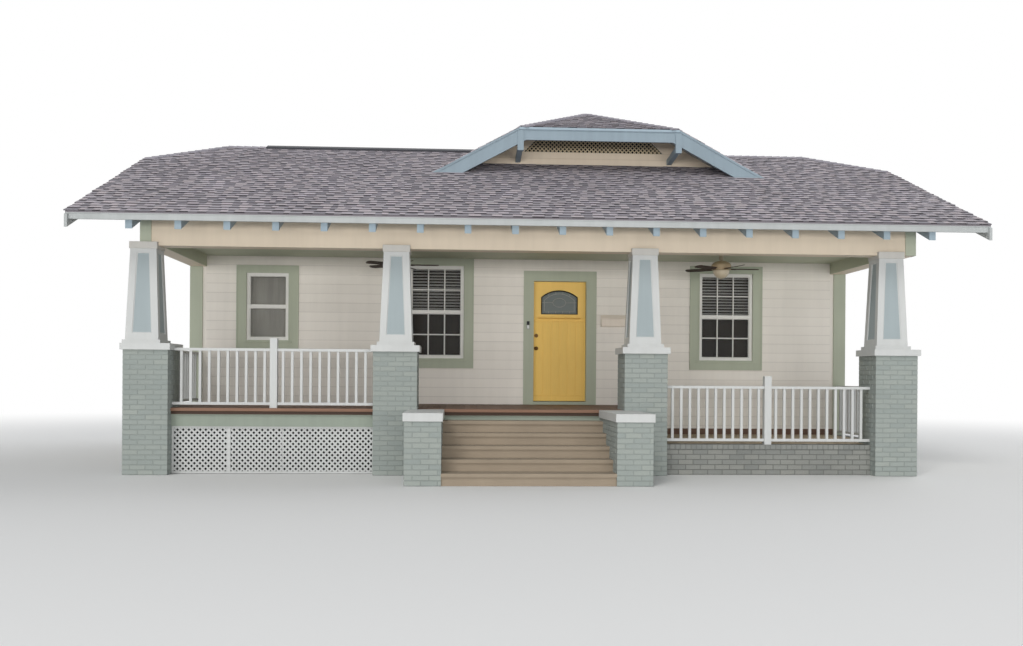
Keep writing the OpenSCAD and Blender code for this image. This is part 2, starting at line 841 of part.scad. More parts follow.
module side_beams() {
    color("cornsilk") for (x0 = [-half_w, half_w - beam_t])
        box([x0, beam_y + beam_t, beam_z], [x0 + beam_t, wall_y, plate_z]);
}

module porch_ceiling() {
    color("darkseagreen") box([beam_t - half_w, beam_y + beam_t, ceiling_z],
        [half_w - beam_t, wall_y, ceiling_z + ceiling_t]);
}

// Five treads with nosings over a stepped block.
module front_steps() {
    color("tan") for (i = [0 : riser_count - 2]) {
        y0 = step_foot_y + i * tread_d;
        top = (i + 1) * riser_h;
        box([step_left, y0, 0], [step_right, beam_y, top - tread_t]);
        box([step_left, y0 - nosing, top - tread_t], [step_right, beam_y, top]);
    }
}

module cheek_walls() {
    color("gainsboro") difference() {
        for (x0 = [step_left - cheek_w, step_right])
            box([x0, step_foot_y - nosing, 0], [x0 + cheek_w, beam_y, deck_h - cheek_cap_t]);
        box([-half_w, deck_front, deck_h - deck_t], [deck_right, beam_y + 1, deck_h]);
        pier_columns(0);
    }
}

module cheek_caps() {
    color("white") difference() {
        for (x0 = [step_left - cheek_w, step_right])
            box([x0 - cheek_cap_over, step_foot_y - nosing - cheek_cap_over, deck_h - cheek_cap_t],
                [x0 + cheek_w + cheek_cap_over, deck_front, deck_h]);
        pier_columns(0);
    }
}

// Setback of a top rail from the side of a pier, where it meets the pier cap.
function cap_in(floor_z) = floor_z + rail_h > pier_top - pier_cap_t ? pier_cap_over : 0;

// A straight railing along +X with a newel at its middle when posts is 1. Its top rail starts
// and ends at the given distances from its ends.
module railing(length, floor_z, posts, start_in, end_in) {
    gaps = ceil(length / baluster_pitch);
    pitch = length / gaps;
    color("white") {
        box([start_in, -rail_w / 2, floor_z + rail_h - rail_t],
            [length - end_in, rail_w / 2, floor_z + rail_h]);
        box([0, -rail_w / 2, floor_z + rail_gap], [length, rail_w / 2, floor_z + rail_gap + rail_t]);
        for (i = [1 : gaps - 1])
            translate([i * pitch, 0, 0])
                box([-baluster_w / 2, -baluster_w / 2, floor_z + rail_gap + rail_t],
                    [baluster_w / 2, baluster_w / 2, floor_z + rail_h - rail_t]);
        for (i = [1 : posts])
            translate([i * length / (posts + 1), 0, 0])
                box([-newel_w / 2, -newel_w / 2, floor_z], [newel_w / 2, newel_w / 2, floor_z + newel_h]);
    }
}

// A railing between two piers, and one from the end pier back to the corner board.
module bay_railings(x0, x1, side_x, floor_z) {
    y0 = column_y + pier_w / 2;
    inset = cap_in(floor_z);
    translate([x0, beam_y + newel_w / 2, 0]) railing(x1 - x0, floor_z, 1, inset, inset);
    translate([side_x, y0, 0]) rotate([0, 0, 90])
        railing(wall_y - corner_board_t - y0, floor_z, 0, inset, 0);
}

module left_railings() {
    bay_railings(column_x[0] + pier_w / 2, column_x[1] - pier_w / 2, newel_w - half_w, deck_h);
}

module right_railings() {
    bay_railings(deck_right, low_right, half_w - newel_w, low_floor_h);
}

// Jambs, head and threshold in the doorway, with boards around it on the wall face.
module door_frame() {
    open_half = door_open_w / 2;
    outer = open_half - jamb_t + door_casing_w;
    stop_w = 12;
    color("darkseagreen") translate([door_x, wall_y, 0]) difference() {
        union() {
            box([-open_half, 0, deck_h], [open_half, wall_t, door_open_top]);
            box([-outer, -casing_t, deck_h], [outer, 0, door_open_top - jamb_t + door_casing_w]);
        }
        box([jamb_t - open_half, wall_t - door_t - door_gap, deck_h + threshold_h],
            [open_half - jamb_t, wall_t + 1, door_open_top - jamb_t]);
        box([jamb_t - open_half + stop_w + door_gap, -casing_t - 1, deck_h + threshold_h],
            [open_half - jamb_t - stop_w - door_gap, wall_t, door_open_top - jamb_t - stop_w - door_gap]);
    }
}

// Outline of the arched light, its foot at the origin.
module light_outline(grow) {
    half = light_w / 2 + grow;
    rise = light_rise;
    arch_r = (half * half + rise * rise) / (2 * rise);
    side_h = light_h - rise;
    intersection() {
        translate([-half, -grow]) square([2 * half, light_h + 2 * grow]);
        translate([0, side_h + rise + grow - arch_r]) circle(r = arch_r, $fn = 96);
    }
}

module front_door() {
    color("goldenrod") difference() {
        box([door_left, door_y, door_foot], [door_left + door_w, door_y + door_t, door_foot + door_h]);
        translate([door_x, 0, door_foot + light_up]) run_y(door_y - 1, door_y + door_t + 1) light_outline(0);
    }
}

module door_light() {
    pane_t = 12;
    color("lightslategray") translate([door_x, 0, door_foot + light_up])
        run_y(door_y + (door_t - pane_t) / 2, door_y + (door_t + pane_t) / 2) light_outline(0);
}

// A knob and a deadbolt on both faces of the door.
module door_hardware() {
    rose_t = 8;
    neck = 30;
    bolt_up = 215;
    x0 = door_left + knob_in;
    color("darkslategray") for (face = [[door_y, 90], [door_y + door_t, -90]]) {
        translate([x0, face[0], door_foot + knob_up]) rotate([face[1], 0, 0]) {
            cylinder(r = knob_r, h = rose_t, $fn = 48);
            cylinder(r = knob_r / 3, h = rose_t + neck, $fn = 32);
            translate([0, 0, rose_t + neck]) sphere(r = knob_r, $fn = 48);
        }
        translate([x0, face[0], door_foot + knob_up + bolt_up]) rotate([face[1], 0, 0])
            cylinder(r = knob_r, h = 2 * rose_t, $fn = 48);
    }
}

// Repeats its children at the middle of each hinge.
module at_hinges() {
    span = door_h - 2 * hinge_inset;
    for (i = [0 : hinge_count - 1])
        translate([hinge_x, hinge_y, door_foot + hinge_inset + i * span / (hinge_count - 1)]) children();
}

// The pin of each hinge, its two outer knuckles and the leaf on the jamb.
module hinge_pins() {
    knuckle_h = hinge_h / 4;
    color("silver") at_hinges() {
        cylinder(r = pin_r, h = hinge_h - knuckle_h, center = true, $fn = 48);
        for (side = [-1, 1]) translate([0, 0, side * (hinge_h - knuckle_h) / 2]) {
            cylinder(r = hinge_r, h = knuckle_h, center = true, $fn = 48);
            box([0, -hinge_r, -knuckle_h / 2], [hinge_w, leaf_t - hinge_r, knuckle_h / 2]);
        }
        box([hinge_r + 2, -hinge_r, -hinge_h / 2], [hinge_w, leaf_t - hinge_r, hinge_h / 2]);
    }
}

// The middle knuckle of each hinge with its bore, and the leaf on the door.
module hinge_leaves() {
    barrel_h = hinge_h / 2 - 2 * knuckle_gap;
    color("silver") at_hinges() difference() {
        union() {
            cylinder(r = hinge_r, h = barrel_h, center = true, $fn = 48);
            box([-hinge_w, -hinge_r, -barrel_h / 2], [0, leaf_t - hinge_r, barrel_h / 2]);
            box([-hinge_w, -hinge_r, -hinge_h / 2], [-hinge_r - 2, leaf_t - hinge_r, hinge_h / 2]);
        }
        cylinder(r = pin_r + pin_clear, h = hinge_h, center = true, $fn = 48);
    }
}

module window_casings() {
    color("darkseagreen") for (w = WINDOWS) at_window(w) difference() {
        box([-w[3] / 2 - casing_w, -casing_t, -casing_w], [w[3] / 2 + casing_w, 0, w[4] + casing_head]);
        box([-w[3] / 2, -2 * casing_t, 0], [w[3] / 2, casing_t, w[4]]);
    }
}

// Frames of the double-hung windows: a surround and a meeting rail.
module window_frames() {
    color("white") for (w = WINDOWS) at_window(w) translate([0, sash_back, 0]) difference() {
        box([-w[3] / 2, 0, 0], [w[3] / 2, sash_d, w[4]]);
        for (z0 = [sash_w, (w[4] + sash_w) / 2])
            box([sash_w - w[3] / 2, -1, z0], [w[3] / 2 - sash_w, sash_d + 1, z0 + (w[4] - 3 * sash_w) / 2]);
    }
}

module window_glass() {
    color("lightblue") for (w = WINDOWS) at_window(w)
        translate([0, sash_back + (sash_d - glass_t) / 2, 0])
            for (z0 = [sash_w, (w[4] + sash_w) / 2])
                box([sash_w - w[3] / 2, 0, z0], [w[3] / 2 - sash_w, glass_t, z0 + (w[4] - 3 * sash_w) / 2]);
}

// The canopy, the down rod right through the motor housing, and the glass bowl that hangs from it.
module fan_mounts() {
    rim = 10;
    cap_h = fan_bowl_h - rim;
    ball_r = (fan_bowl_r * fan_bowl_r + cap_h * cap_h) / (2 * cap_h);
    color("white") for (x = [fan_left_x, fan_right_x]) translate([x, fan_y, 0]) {
        translate([0, 0, ceiling_z - fan_canopy_h])
            cylinder(r1 = fan_canopy_r * 0.6, r2 = fan_canopy_r, h = fan_canopy_h, $fn = 48);
        translate([0, 0, fan_bowl_z + fan_bowl_h])
            cylinder(r = fan_rod_r, h = ceiling_z - fan_canopy_h - fan_bowl_z - fan_bowl_h, $fn = 48);
        translate([0, 0, fan_bowl_z]) {
            intersection() {
                translate([0, 0, ball_r]) sphere(r = ball_r, $fn = 64);
                cylinder(r = 2 * ball_r, h = cap_h, $fn = 64);
            }
            translate([0, 0, cap_h]) cylinder(r = fan_bowl_r, h = rim, $fn = 64);
            translate([0, 0, -finial_r]) cylinder(r1 = finial_r / 2, r2 = finial_r, h = 2 * finial_r, $fn = 32);
        }
    }
}

// A domed motor housing with a bore for the down rod and evenly spaced blades on their arms.
module fan_rotor(x) {
    dome_h = fan_hub_h * 0.55;
    neck_r = fan_rod_r * 2;
    arm_w = blade_w * 0.4;
    arm_end = fan_hub_r + blade_w * 0.6;
    color("wheat") translate([x, fan_y, fan_hub_z]) {
        difference() {
            union() {
                cylinder(r = fan_hub_r * 0.8, h = blade_up, $fn = 64);
                translate([0, 0, blade_up]) cylinder(r = fan_hub_r, h = fan_hub_h - dome_h - blade_up, $fn = 64);
                translate([0, 0, fan_hub_h - dome_h]) cylinder(r1 = fan_hub_r, r2 = neck_r, h = dome_h, $fn = 64);
            }
            translate([0, 0, -1]) cylinder(r = fan_rod_r + fan_clear, h = fan_hub_h + 2, $fn = 48);
        }
        for (i = [0 : blade_count - 1])
            rotate([0, 0, i * 360 / blade_count]) translate([0, 0, blade_up / 2])
                rotate([blade_tilt, 0, 0]) {
                    translate([fan_hub_r * 0.7, -arm_w / 2, -blade_t])
                        cube([arm_end - fan_hub_r * 0.7, arm_w, blade_t]);
                    translate([fan_hub_r * 1.1, -blade_w / 2, 0])
                        cube([blade_r - fan_hub_r * 1.1 - blade_w / 2, blade_w, blade_t]);
                    translate([blade_r - blade_w / 2, 0, 0]) cylinder(d = blade_w, h = blade_t, $fn = 48);
                }
    }
}

module fan_rotor_left() {
    fan_rotor(fan_left_x);
}

module fan_rotor_right() {
    fan_rotor(fan_right_x);
}

// A wall box with a sloping lid.
module mailbox() {
    x0 = door_x + mailbox_off - mailbox_w / 2;
    color("ivory") run_x(x0, x0 + mailbox_w) translate([wall_y, deck_h + mailbox_up]) polygon([
        [-mailbox_d, 0], [0, 0], [0, mailbox_h], [-mailbox_d * 0.55, mailbox_h], [-mailbox_d, mailbox_h * 0.7]]);
}

module doorbell() {
    x0 = door_left - door_gap - door_casing_w / 2;
    color("black") box([x0 - bell_w / 2, wall_y - casing_t - 20, deck_h + bell_up],
        [x0 + bell_w / 2, wall_y - casing_t, deck_h + bell_up + bell_h]);
}

foundation();
house_floor();
front_wall_left();
front_wall_right();
front_wall_over_door();
left_wall();
right_wall();
back_wall();
gable_walls();
corner_boards();
main_roof();
ridge_vent();
eave_fascia();
rafter_tails();
rake_boards();
dormer_roof();
dormer_walls();
dormer_bargeboards();
dormer_brackets();
dormer_vents();
porch_deck();
deck_skirt();
porch_lattice();
lower_porch_floor();
lower_porch_base();
piers();
pier_caps();
column_1();
column_2();
column_3();
column_4();
front_beam();
side_beams();
porch_ceiling();
front_steps();
cheek_walls();
cheek_caps();
left_railings();
right_railings();
door_frame();
front_door();
door_light();
door_hardware();
hinge_pins();
hinge_leaves();
window_casings();
window_frames();
window_glass();
fan_mounts();
fan_rotor_left();
fan_rotor_right();
mailbox();
doorbell();
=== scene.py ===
"""Siding, shingles, bricks, lattice, glazing, paint and light for a bungalow with a front porch."""

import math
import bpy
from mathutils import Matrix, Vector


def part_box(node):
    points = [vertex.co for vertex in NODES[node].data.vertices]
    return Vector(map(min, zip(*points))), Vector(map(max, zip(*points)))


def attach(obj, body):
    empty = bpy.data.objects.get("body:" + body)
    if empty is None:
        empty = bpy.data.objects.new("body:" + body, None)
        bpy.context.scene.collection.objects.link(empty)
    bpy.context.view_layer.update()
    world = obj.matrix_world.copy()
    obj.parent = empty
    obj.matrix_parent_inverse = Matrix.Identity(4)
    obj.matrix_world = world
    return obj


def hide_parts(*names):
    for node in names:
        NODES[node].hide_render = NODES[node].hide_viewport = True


bl_info = {
    "name": "Bungalow with a front porch",
    "version": (1, 0, 0),
    "blender": (4, 5, 0),
    "location": "3D View > Sidebar > Bungalow",
    "description": "Dresses the frame of a bungalow with siding, shingles, bricks, boards and paint",
    "category": "Object",
}

import bpy
import numpy as np
from bpy.props import FloatProperty, FloatVectorProperty, IntProperty, PointerProperty
from mathutils import Matrix

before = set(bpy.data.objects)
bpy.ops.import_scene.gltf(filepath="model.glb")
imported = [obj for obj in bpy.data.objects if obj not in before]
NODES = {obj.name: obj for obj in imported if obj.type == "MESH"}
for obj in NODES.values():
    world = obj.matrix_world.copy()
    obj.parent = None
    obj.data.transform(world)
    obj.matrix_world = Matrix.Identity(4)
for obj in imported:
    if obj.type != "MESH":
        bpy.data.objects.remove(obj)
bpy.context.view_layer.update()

X = np.array([1.0, 0.0, 0.0])
Y = np.array([0.0, 1.0, 0.0])
Z = np.array([0.0, 0.0, 1.0])


def corners(node):
    """Lowest and highest corner of a CAD node as arrays."""
    low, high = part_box(node)
    return np.array(low), np.array(high)


# Main roof: eave line, ridge line, clipped ends.
ROOF_LOW, ROOF_HIGH = corners("main_roof")
SLAB = 0.04
EAVE_Z = ROOF_LOW[2] + SLAB
RIDGE_Y = (ROOF_LOW[1] + ROOF_HIGH[1]) / 2
RIDGE_Z = ROOF_HIGH[2]
HALF_RUN = ROOF_HIGH[1] - RIDGE_Y
PITCH = (RIDGE_Z - EAVE_Z) / HALF_RUN
RAKE_X = ROOF_HIGH[0]
CLIP_Z = corners("rake_boards")[1][2] + SLAB
CLIP_RUN = (RIDGE_Z - CLIP_Z) / PITCH
PLATE_Z = corners("front_beam")[1][2]

# Dormer: a tent astride the ridge with clipped ends, narrower towards the ridge.
TENT_LOW, TENT_HIGH = corners("dormer_roof")
TENT_X = (TENT_LOW[0] + TENT_HIGH[0]) / 2
TENT_HALF = TENT_HIGH[0] - TENT_X
TENT_Y = TENT_LOW[1]
TENT_RUN = RIDGE_Y - TENT_Y
TENT_PITCH = (TENT_HIGH[2] - TENT_LOW[2]) / TENT_HALF
POST_HALF = 0.05
TENT_CLIP = corners("dormer_brackets")[1][0] - POST_HALF - TENT_X
TENT_CLIP_Z = TENT_HIGH[2] - TENT_PITCH * TENT_CLIP
TENT_HIP_PITCH = (TENT_HIGH[2] - TENT_CLIP_Z) / TENT_RUN
TENT_WALL_Y = corners("dormer_walls")[0][1]
TENT_ENDS = ((TENT_Y, 1), (2 * RIDGE_Y - TENT_Y, -1))
VALLEY_HALF = (TENT_HIGH[2] - RIDGE_Z) / TENT_PITCH
NARROWING = (TENT_HALF - VALLEY_HALF) / TENT_RUN

# Body, porch and floors.
WALL_Y = corners("front_wall_left")[0][1]
BACK_Y = corners("back_wall")[1][1]
WALL_X = corners("left_wall")[0][0]
WALL_FOOT = corners("back_wall")[0][2]
BEAM_LOW, BEAM_HIGH = corners("front_beam")
DECK_LOW, DECK_HIGH = corners("porch_deck")
CEILING_LOW, CEILING_HIGH = corners("porch_ceiling")
WALL_T = 0.15

# Heights of the backs of thin boards, of trim and of lapped boards or bricks, just inside the face.
BED, TRIM_BED, LAP_BED = -0.001, -0.002, -0.003
SKIRT_HEIGHT = 0.17
FAN_RADIUS = 0.153


def srgb(red, green, blue):
    """A colour given as it looks on a screen, 0 to 255, as linear values."""
    share = np.array([red, green, blue]) / 255
    linear = np.where(share <= 0.04045, share / 12.92, ((share + 0.055) / 1.055) ** 2.4)
    return tuple(float(v) for v in linear)


def colour(name, description, shade):
    """A colour property with its default."""
    return FloatVectorProperty(name=name, description=description, default=srgb(*shade), size=3,
                               subtype="COLOR", min=0, max=1)


def length(name, description, default):
    """A length property in metres with its default."""
    return FloatProperty(name=name, description=description, default=default, min=0, unit="LENGTH",
                         subtype="DISTANCE", precision=4)


class RoofSizes(bpy.types.PropertyGroup):
    exposure: length("Exposure", "Height of a shingle course along the slope", 0.143)
    tab_least: length("Narrowest tab", "Least width of a shingle tab", 0.07)
    tab_most: length("Widest tab", "Greatest width of a shingle tab", 0.18)
    thick: length("Thickness", "Thickness of a shingle at its butt", 0.015)
    overhang: length("Overhang", "Reach of the first course past the eave", 0.012)
    ragged: length("Ragged ends", "Greatest reach of a course past the rake", 0.022)
    # Depth of the printed bands and of the painted shade under the shingle butts.
    band: FloatProperty(name="Shadow band", description="Depth of the dark band above a shingle's notches",
                        default=0.92, min=0, max=1)
    cap_width: length("Cap width", "Width of a ridge cap on each side of the ridge", 0.13)
    soffit_board: length("Soffit board", "Width of a soffit board", 0.09)


class WallSizes(bpy.types.PropertyGroup):
    exposure: length("Exposure", "Visible height of a lap siding board", 0.155)
    butt: length("Butt", "Projection of the foot of a board", 0.014)
    thin: length("Thin edge", "Projection of the head of a board", 0.003)
    course: length("Brick course", "Height of a brick course with its joint", 0.070)
    brick: length("Brick length", "Length of a brick with its joint", 0.212)
    joint: length("Joint", "Width of a mortar joint", 0.009)
    relief: length("Relief", "Projection of a brick from its joint", 0.005)


class PorchSizes(bpy.types.PropertyGroup):
    deck_board: length("Deck board", "Width of a deck board with its gap", 0.092)
    board_gap: length("Board gap", "Gap between deck boards", 0.004)
    ceiling_board: length("Ceiling board", "Width of a ceiling board", 0.082)
    lattice_width: length("Lattice strip", "Width of a strip of the porch lattice", 0.025)
    lattice_pitch: length("Lattice pitch", "Spacing of the strips, square to them", 0.0553)
    vent_width: length("Vent strip", "Width of a strip of the dormer lattice", 0.017)
    vent_pitch: length("Vent pitch", "Spacing of the dormer lattice strips, square to them", 0.050)


class OpeningSizes(bpy.types.PropertyGroup):
    bar: length("Glazing bar", "Width of a glazing bar", 0.024)
    lights_across: IntProperty(name="Lights across", description="Panes side by side in a tall sash",
                               default=3, min=1, max=6)
    slat_pitch: length("Slat pitch", "Spacing of the blind slats", 0.050)
    slat_width: length("Slat width", "Width of a blind slat", 0.050)
    stile: length("Door stile", "Width of the plain edges of the door", 0.176)
    planks: IntProperty(name="Door planks", description="Planks between the stiles",
                        default=4, min=1, max=8)


class Paints(bpy.types.PropertyGroup):
    shingles: colour("Shingles", "Middle colour of the roof shingles", (176, 170, 177))
    ridge_metal: colour("Ridge vent", "Colour of the ridge vent", (34, 36, 44))
    siding: colour("Siding", "Colour of the lap siding", (236, 231, 223))
    beam: colour("Beam siding", "Colour of the siding on the porch beam", (218, 204, 184))
    sage: colour("Sage trim", "Colour of casings, corner boards and skirt", (176, 182, 164))
    ceiling: colour("Ceiling", "Colour of the porch ceiling", (182, 186, 164))
    pale: colour("Fascia", "Colour of fascia and rake boards", (176, 180, 180))
    blue: colour("Blue trim", "Colour of rafter tails and bargeboards", (144, 160, 170))
    white: colour("White trim", "Colour of columns, caps, railings and frames", (198, 200, 199))
    panel: colour("Column panels", "Colour of the recessed column panels", (158, 169, 172))
    # Darkened in part as painted shade from the dormer's overhang.
    vent: colour("Vent lattice", "Colour of the dormer lattice", (184, 170, 142))
    brick: colour("Painted brick", "Colour of the painted piers and walls", (150, 157, 153))
    base_brick: colour("Base brick", "Colour of the brick base of the lower bay", (134, 136, 132))
    deck: colour("Deck", "Colour of the deck boards", (112, 88, 74))
    steps: colour("Steps", "Colour of the painted steps", (150, 137, 120))
    door: colour("Door", "Colour of the front door", (250, 209, 118))
    blade: colour("Fan blades", "Colour of the fan blades", (62, 50, 42))
    housing: colour("Fan housing", "Colour of the fan housings", (168, 150, 122))


class StageSizes(bpy.types.PropertyGroup):
    sun: FloatProperty(name="Sun", description="Strength of the soft main lamp", default=0.9, min=0)
    fill: FloatProperty(name="Fill", description="Strength of the low panel in front", default=1.5, min=0)
    back: FloatProperty(name="Back", description="Strength of the lamp from the rear", default=1.1, min=0)
    sky: FloatProperty(name="Sky", description="Strength of the light from all round", default=0.42, min=0)
    sun_angle: FloatProperty(name="Softness", description="Apparent width of the main lamp",
                             default=math.radians(20), min=0, max=math.pi, unit="ROTATION", subtype="ANGLE")
    floor_radius: length("Floor radius", "Radius of the floor", 90.0)


# Meshes

def solids(node):
    """Low and high corners of each separate solid of a CAD node: the least corner number spreads
    over the triangles that share corners until nothing changes."""
    mesh = NODES[node].data
    points = np.empty(len(mesh.vertices) * 3)
    mesh.vertices.foreach_get("co", points)
    loops = np.empty(len(mesh.loops), dtype=np.int64)
    mesh.loops.foreach_get("vertex_index", loops)
    spots, index = np.unique(np.round(points.reshape(-1, 3), 4), axis=0, return_inverse=True)
    faces = index.ravel()[loops].reshape(-1, 3)
    label = np.arange(len(spots))
    while True:
        before = label.copy()
        np.minimum.at(label, faces.ravel(), np.repeat(label[faces].min(axis=1), 3))
        label = label[label]
        if (label == before).all():
            break
    groups = [spots[label == k] for k in np.unique(label[faces])]
    return np.array([[g.min(axis=0), g.max(axis=0)] for g in groups])


def plane(origin, along, up, out):
    """A flat working surface: a point of it and three unit directions."""
    return tuple(np.asarray(v, dtype=float) for v in (origin, along, up, out))


def facing(out, place):
    """An upright working surface that looks out along X or Y, at a place on that axis."""
    return plane(place * np.abs(out), X if out[1] else Y, Z, out)


def blocks(surface, lower, upper, low, high):
    """Corners of six-sided blocks on a surface: lower and upper hold four points each, in the order
    foot start, foot end, head start, head end; a corner lies at origin + u along + v up + height out."""
    origin, along, up, out = surface
    lower, upper = np.asarray(lower, dtype=float), np.asarray(upper, dtype=float)
    flat = np.concatenate([lower, upper], axis=1)
    height = np.empty(flat.shape[:2])
    height[:, :4] = low
    height[:, 4:] = high
    return origin + flat[..., :1] * along + flat[..., 1:] * up + height[..., None] * out


def rectangles(u0, u1, v0, v1, inset=0.0):
    """Four corners each of rectangles on a surface, drawn in by inset."""
    u0, u1, v0, v1 = np.broadcast_arrays(*(np.asarray(k, dtype=float) for k in (u0, u1, v0, v1)))
    u0, u1, v0, v1 = (k.ravel() for k in (u0 + inset, u1 - inset, v0 + inset, v1 - inset))
    return np.stack([np.stack([u0, v0], 1), np.stack([u1, v0], 1),
                     np.stack([u0, v1], 1), np.stack([u1, v1], 1)], axis=1)


def plates(surface, u0, u1, v0, v1, low, high, soften=0.0):
    """Rectangular plates on a surface whose outer face is drawn in by soften."""
    return blocks(surface, rectangles(u0, u1, v0, v1), rectangles(u0, u1, v0, v1, soften), low, high)


BLOCK_FACES = np.array([[0, 2, 3, 1], [4, 5, 7, 6], [0, 1, 5, 4], [2, 6, 7, 3], [0, 4, 6, 2], [1, 3, 7, 5]])


def mesh_of(name, points, faces, smooth=False):
    """A mesh object from an array of points and an array of four-sided faces."""
    mesh = bpy.data.meshes.new(name)
    mesh.vertices.add(len(points))
    mesh.vertices.foreach_set("co", np.asarray(points, dtype=np.float32).ravel())
    mesh.loops.add(faces.size)
    mesh.loops.foreach_set("vertex_index", faces.astype(np.int32).ravel())
    mesh.polygons.add(len(faces))
    mesh.polygons.foreach_set("loop_start", np.arange(0, faces.size, faces.shape[1], dtype=np.int32))
    mesh.polygons.foreach_set("use_smooth", np.full(len(faces), smooth))
    mesh.update(calc_edges=True)
    mesh.validate()
    thing = bpy.data.objects.new(name, mesh)
    bpy.context.scene.collection.objects.link(thing)
    return thing


def dress(thing, finish, body="house"):
    """Gives a piece its finish and the body it rides on."""
    thing.data.materials.append(FINISHES[finish])
    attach(thing, body)
    return thing


def block_piece(name, parts, finish, body="house", tones=None, ups=None, seed=1):
    """One piece from arrays of blocks, each with its own tone between -1 and 1, and with ups the
    place of each corner up its course. A block whose corners run left-handed has its faces turned."""
    points = np.concatenate([np.asarray(p).reshape(-1, 8, 3) for p in parts])
    edge = points[:, [1, 2, 4]] - points[:, :1]
    left_handed = np.einsum("ij,ij->i", np.cross(edge[:, 0], edge[:, 1]), edge[:, 2]) < 0
    faces = np.where(left_handed[:, None, None], BLOCK_FACES[:, ::-1], BLOCK_FACES)
    faces = faces + 8 * np.arange(len(points))[:, None, None]
    thing = mesh_of(name, points.reshape(-1, 3), faces.reshape(-1, 4))
    if tones is None:
        tones = np.random.default_rng(seed).uniform(-1, 1, len(points))
    values = {"tone": np.repeat(tones, 8)}
    if ups is not None:
        values["up"] = np.tile(ups, (1, 2)).ravel()
    for key, value in values.items():
        attribute = thing.data.attributes.new(key, "FLOAT", "POINT")
        attribute.data.foreach_set("value", value.astype(np.float32))
    return dress(thing, finish, body)


def oblong(foot, head, left, right):
    """A rectangle as a shape given by levels."""
    return (foot, head), (left, left), (right, right)


def balanced(levels, middle, halves):
    """A shape given by levels that reaches equally far to both sides of a middle."""
    return levels, [middle - half for half in halves], [middle + half for half in halves]


def courses(outline, holes, step):
    """Courses of boards up an outline, split at each level of it and of its holes: foot, head, number
    of the course, and how far up its course the foot and the head lie, from 0 to 1."""
    levels = [level for shape in (outline, *holes) for level in shape[0]]
    low, high = outline[0][0], outline[0][-1]
    edges = np.unique(np.round(np.concatenate([np.arange(low, high, step), [high], levels]), 5))
    edges = edges[(edges >= low - 1e-6) & (edges <= high + 1e-6)]
    foot, head = edges[:-1], edges[1:]
    kept = head - foot > 0.0008
    foot, head = foot[kept], head[kept]
    number = np.floor((foot - low) / step + 1e-3)
    return foot, head, number.astype(int), (foot - low) / step - number, (head - low) / step - number


def spans(foot, head, outline, holes):
    """Stretches of a course inside an outline and outside the holes. Outline and holes are given as
    (levels, left edge, right edge) and run straight between their levels. Each stretch is
    (start at foot, start at head, end at foot, end at head)."""
    def at(shape):
        levels, left, right = shape
        inner = np.clip([foot, head], levels[0], levels[-1])
        return (*np.interp(inner, levels, left), *np.interp(inner, levels, right))

    start_foot, start_head, end_foot, end_head = at(outline)
    found = []
    middle = (foot + head) / 2
    for hole in sorted((at(h) for h in holes if h[0][0] < middle < h[0][-1]), key=lambda h: h[0]):
        found.append((start_foot, start_head, max(hole[0], start_foot), max(hole[1], start_head)))
        start_foot, start_head = max(hole[2], start_foot), max(hole[3], start_head)
    found.append((start_foot, start_head, end_foot, end_head))
    return [s for s in found if max(s[2] - s[0], s[3] - s[1]) > 0.004]


def course_quads(stretch, foot, head):
    """Four corners for each stretch of a course, whose ends are given as values or as arrays."""
    start_foot, start_head, end_foot, end_head = (np.atleast_1d(v) for v in stretch)
    low, high = np.full(len(end_foot), foot), np.full(len(end_foot), head)
    pairs = ((start_foot, low), (end_foot, low), (start_head, high), (end_head, high))
    return np.stack([np.stack(pair, 1) for pair in pairs], 1)


def clad(surface, outline, holes, step, butt, thin):
    """Lap siding: one wedge for each stretch of each course, thick at its foot and thin at its head.
    Returns the blocks, and for their corners how far up the course they lie."""
    quads, ups = [], []
    for foot, head, _, low_share, high_share in zip(*courses(outline, holes, step)):
        for stretch in spans(foot, head, outline, holes):
            quads.append(course_quads(stretch, foot, head))
            ups.append([low_share] * 2 + [high_share] * 2)
    quads, ups = np.concatenate(quads), np.array(ups)
    return blocks(surface, quads, quads, LAP_BED, butt + (thin - butt) * ups), ups


def boards_across(surface, outline, width, thick, gap=0.004):
    """Flat boards side by side across a shape given by levels, with drawn-in faces that leave a
    groove at each joint."""
    lower, upper = [], []
    for foot, head, *_ in zip(*courses(outline, [], width)):
        for stretch in spans(foot, head, outline, []):
            lower.append(course_quads(stretch, foot, head))
            upper.append(course_quads(stretch, foot + gap, head - gap))
    return blocks(surface, np.concatenate(lower), np.concatenate(upper), BED, thick)


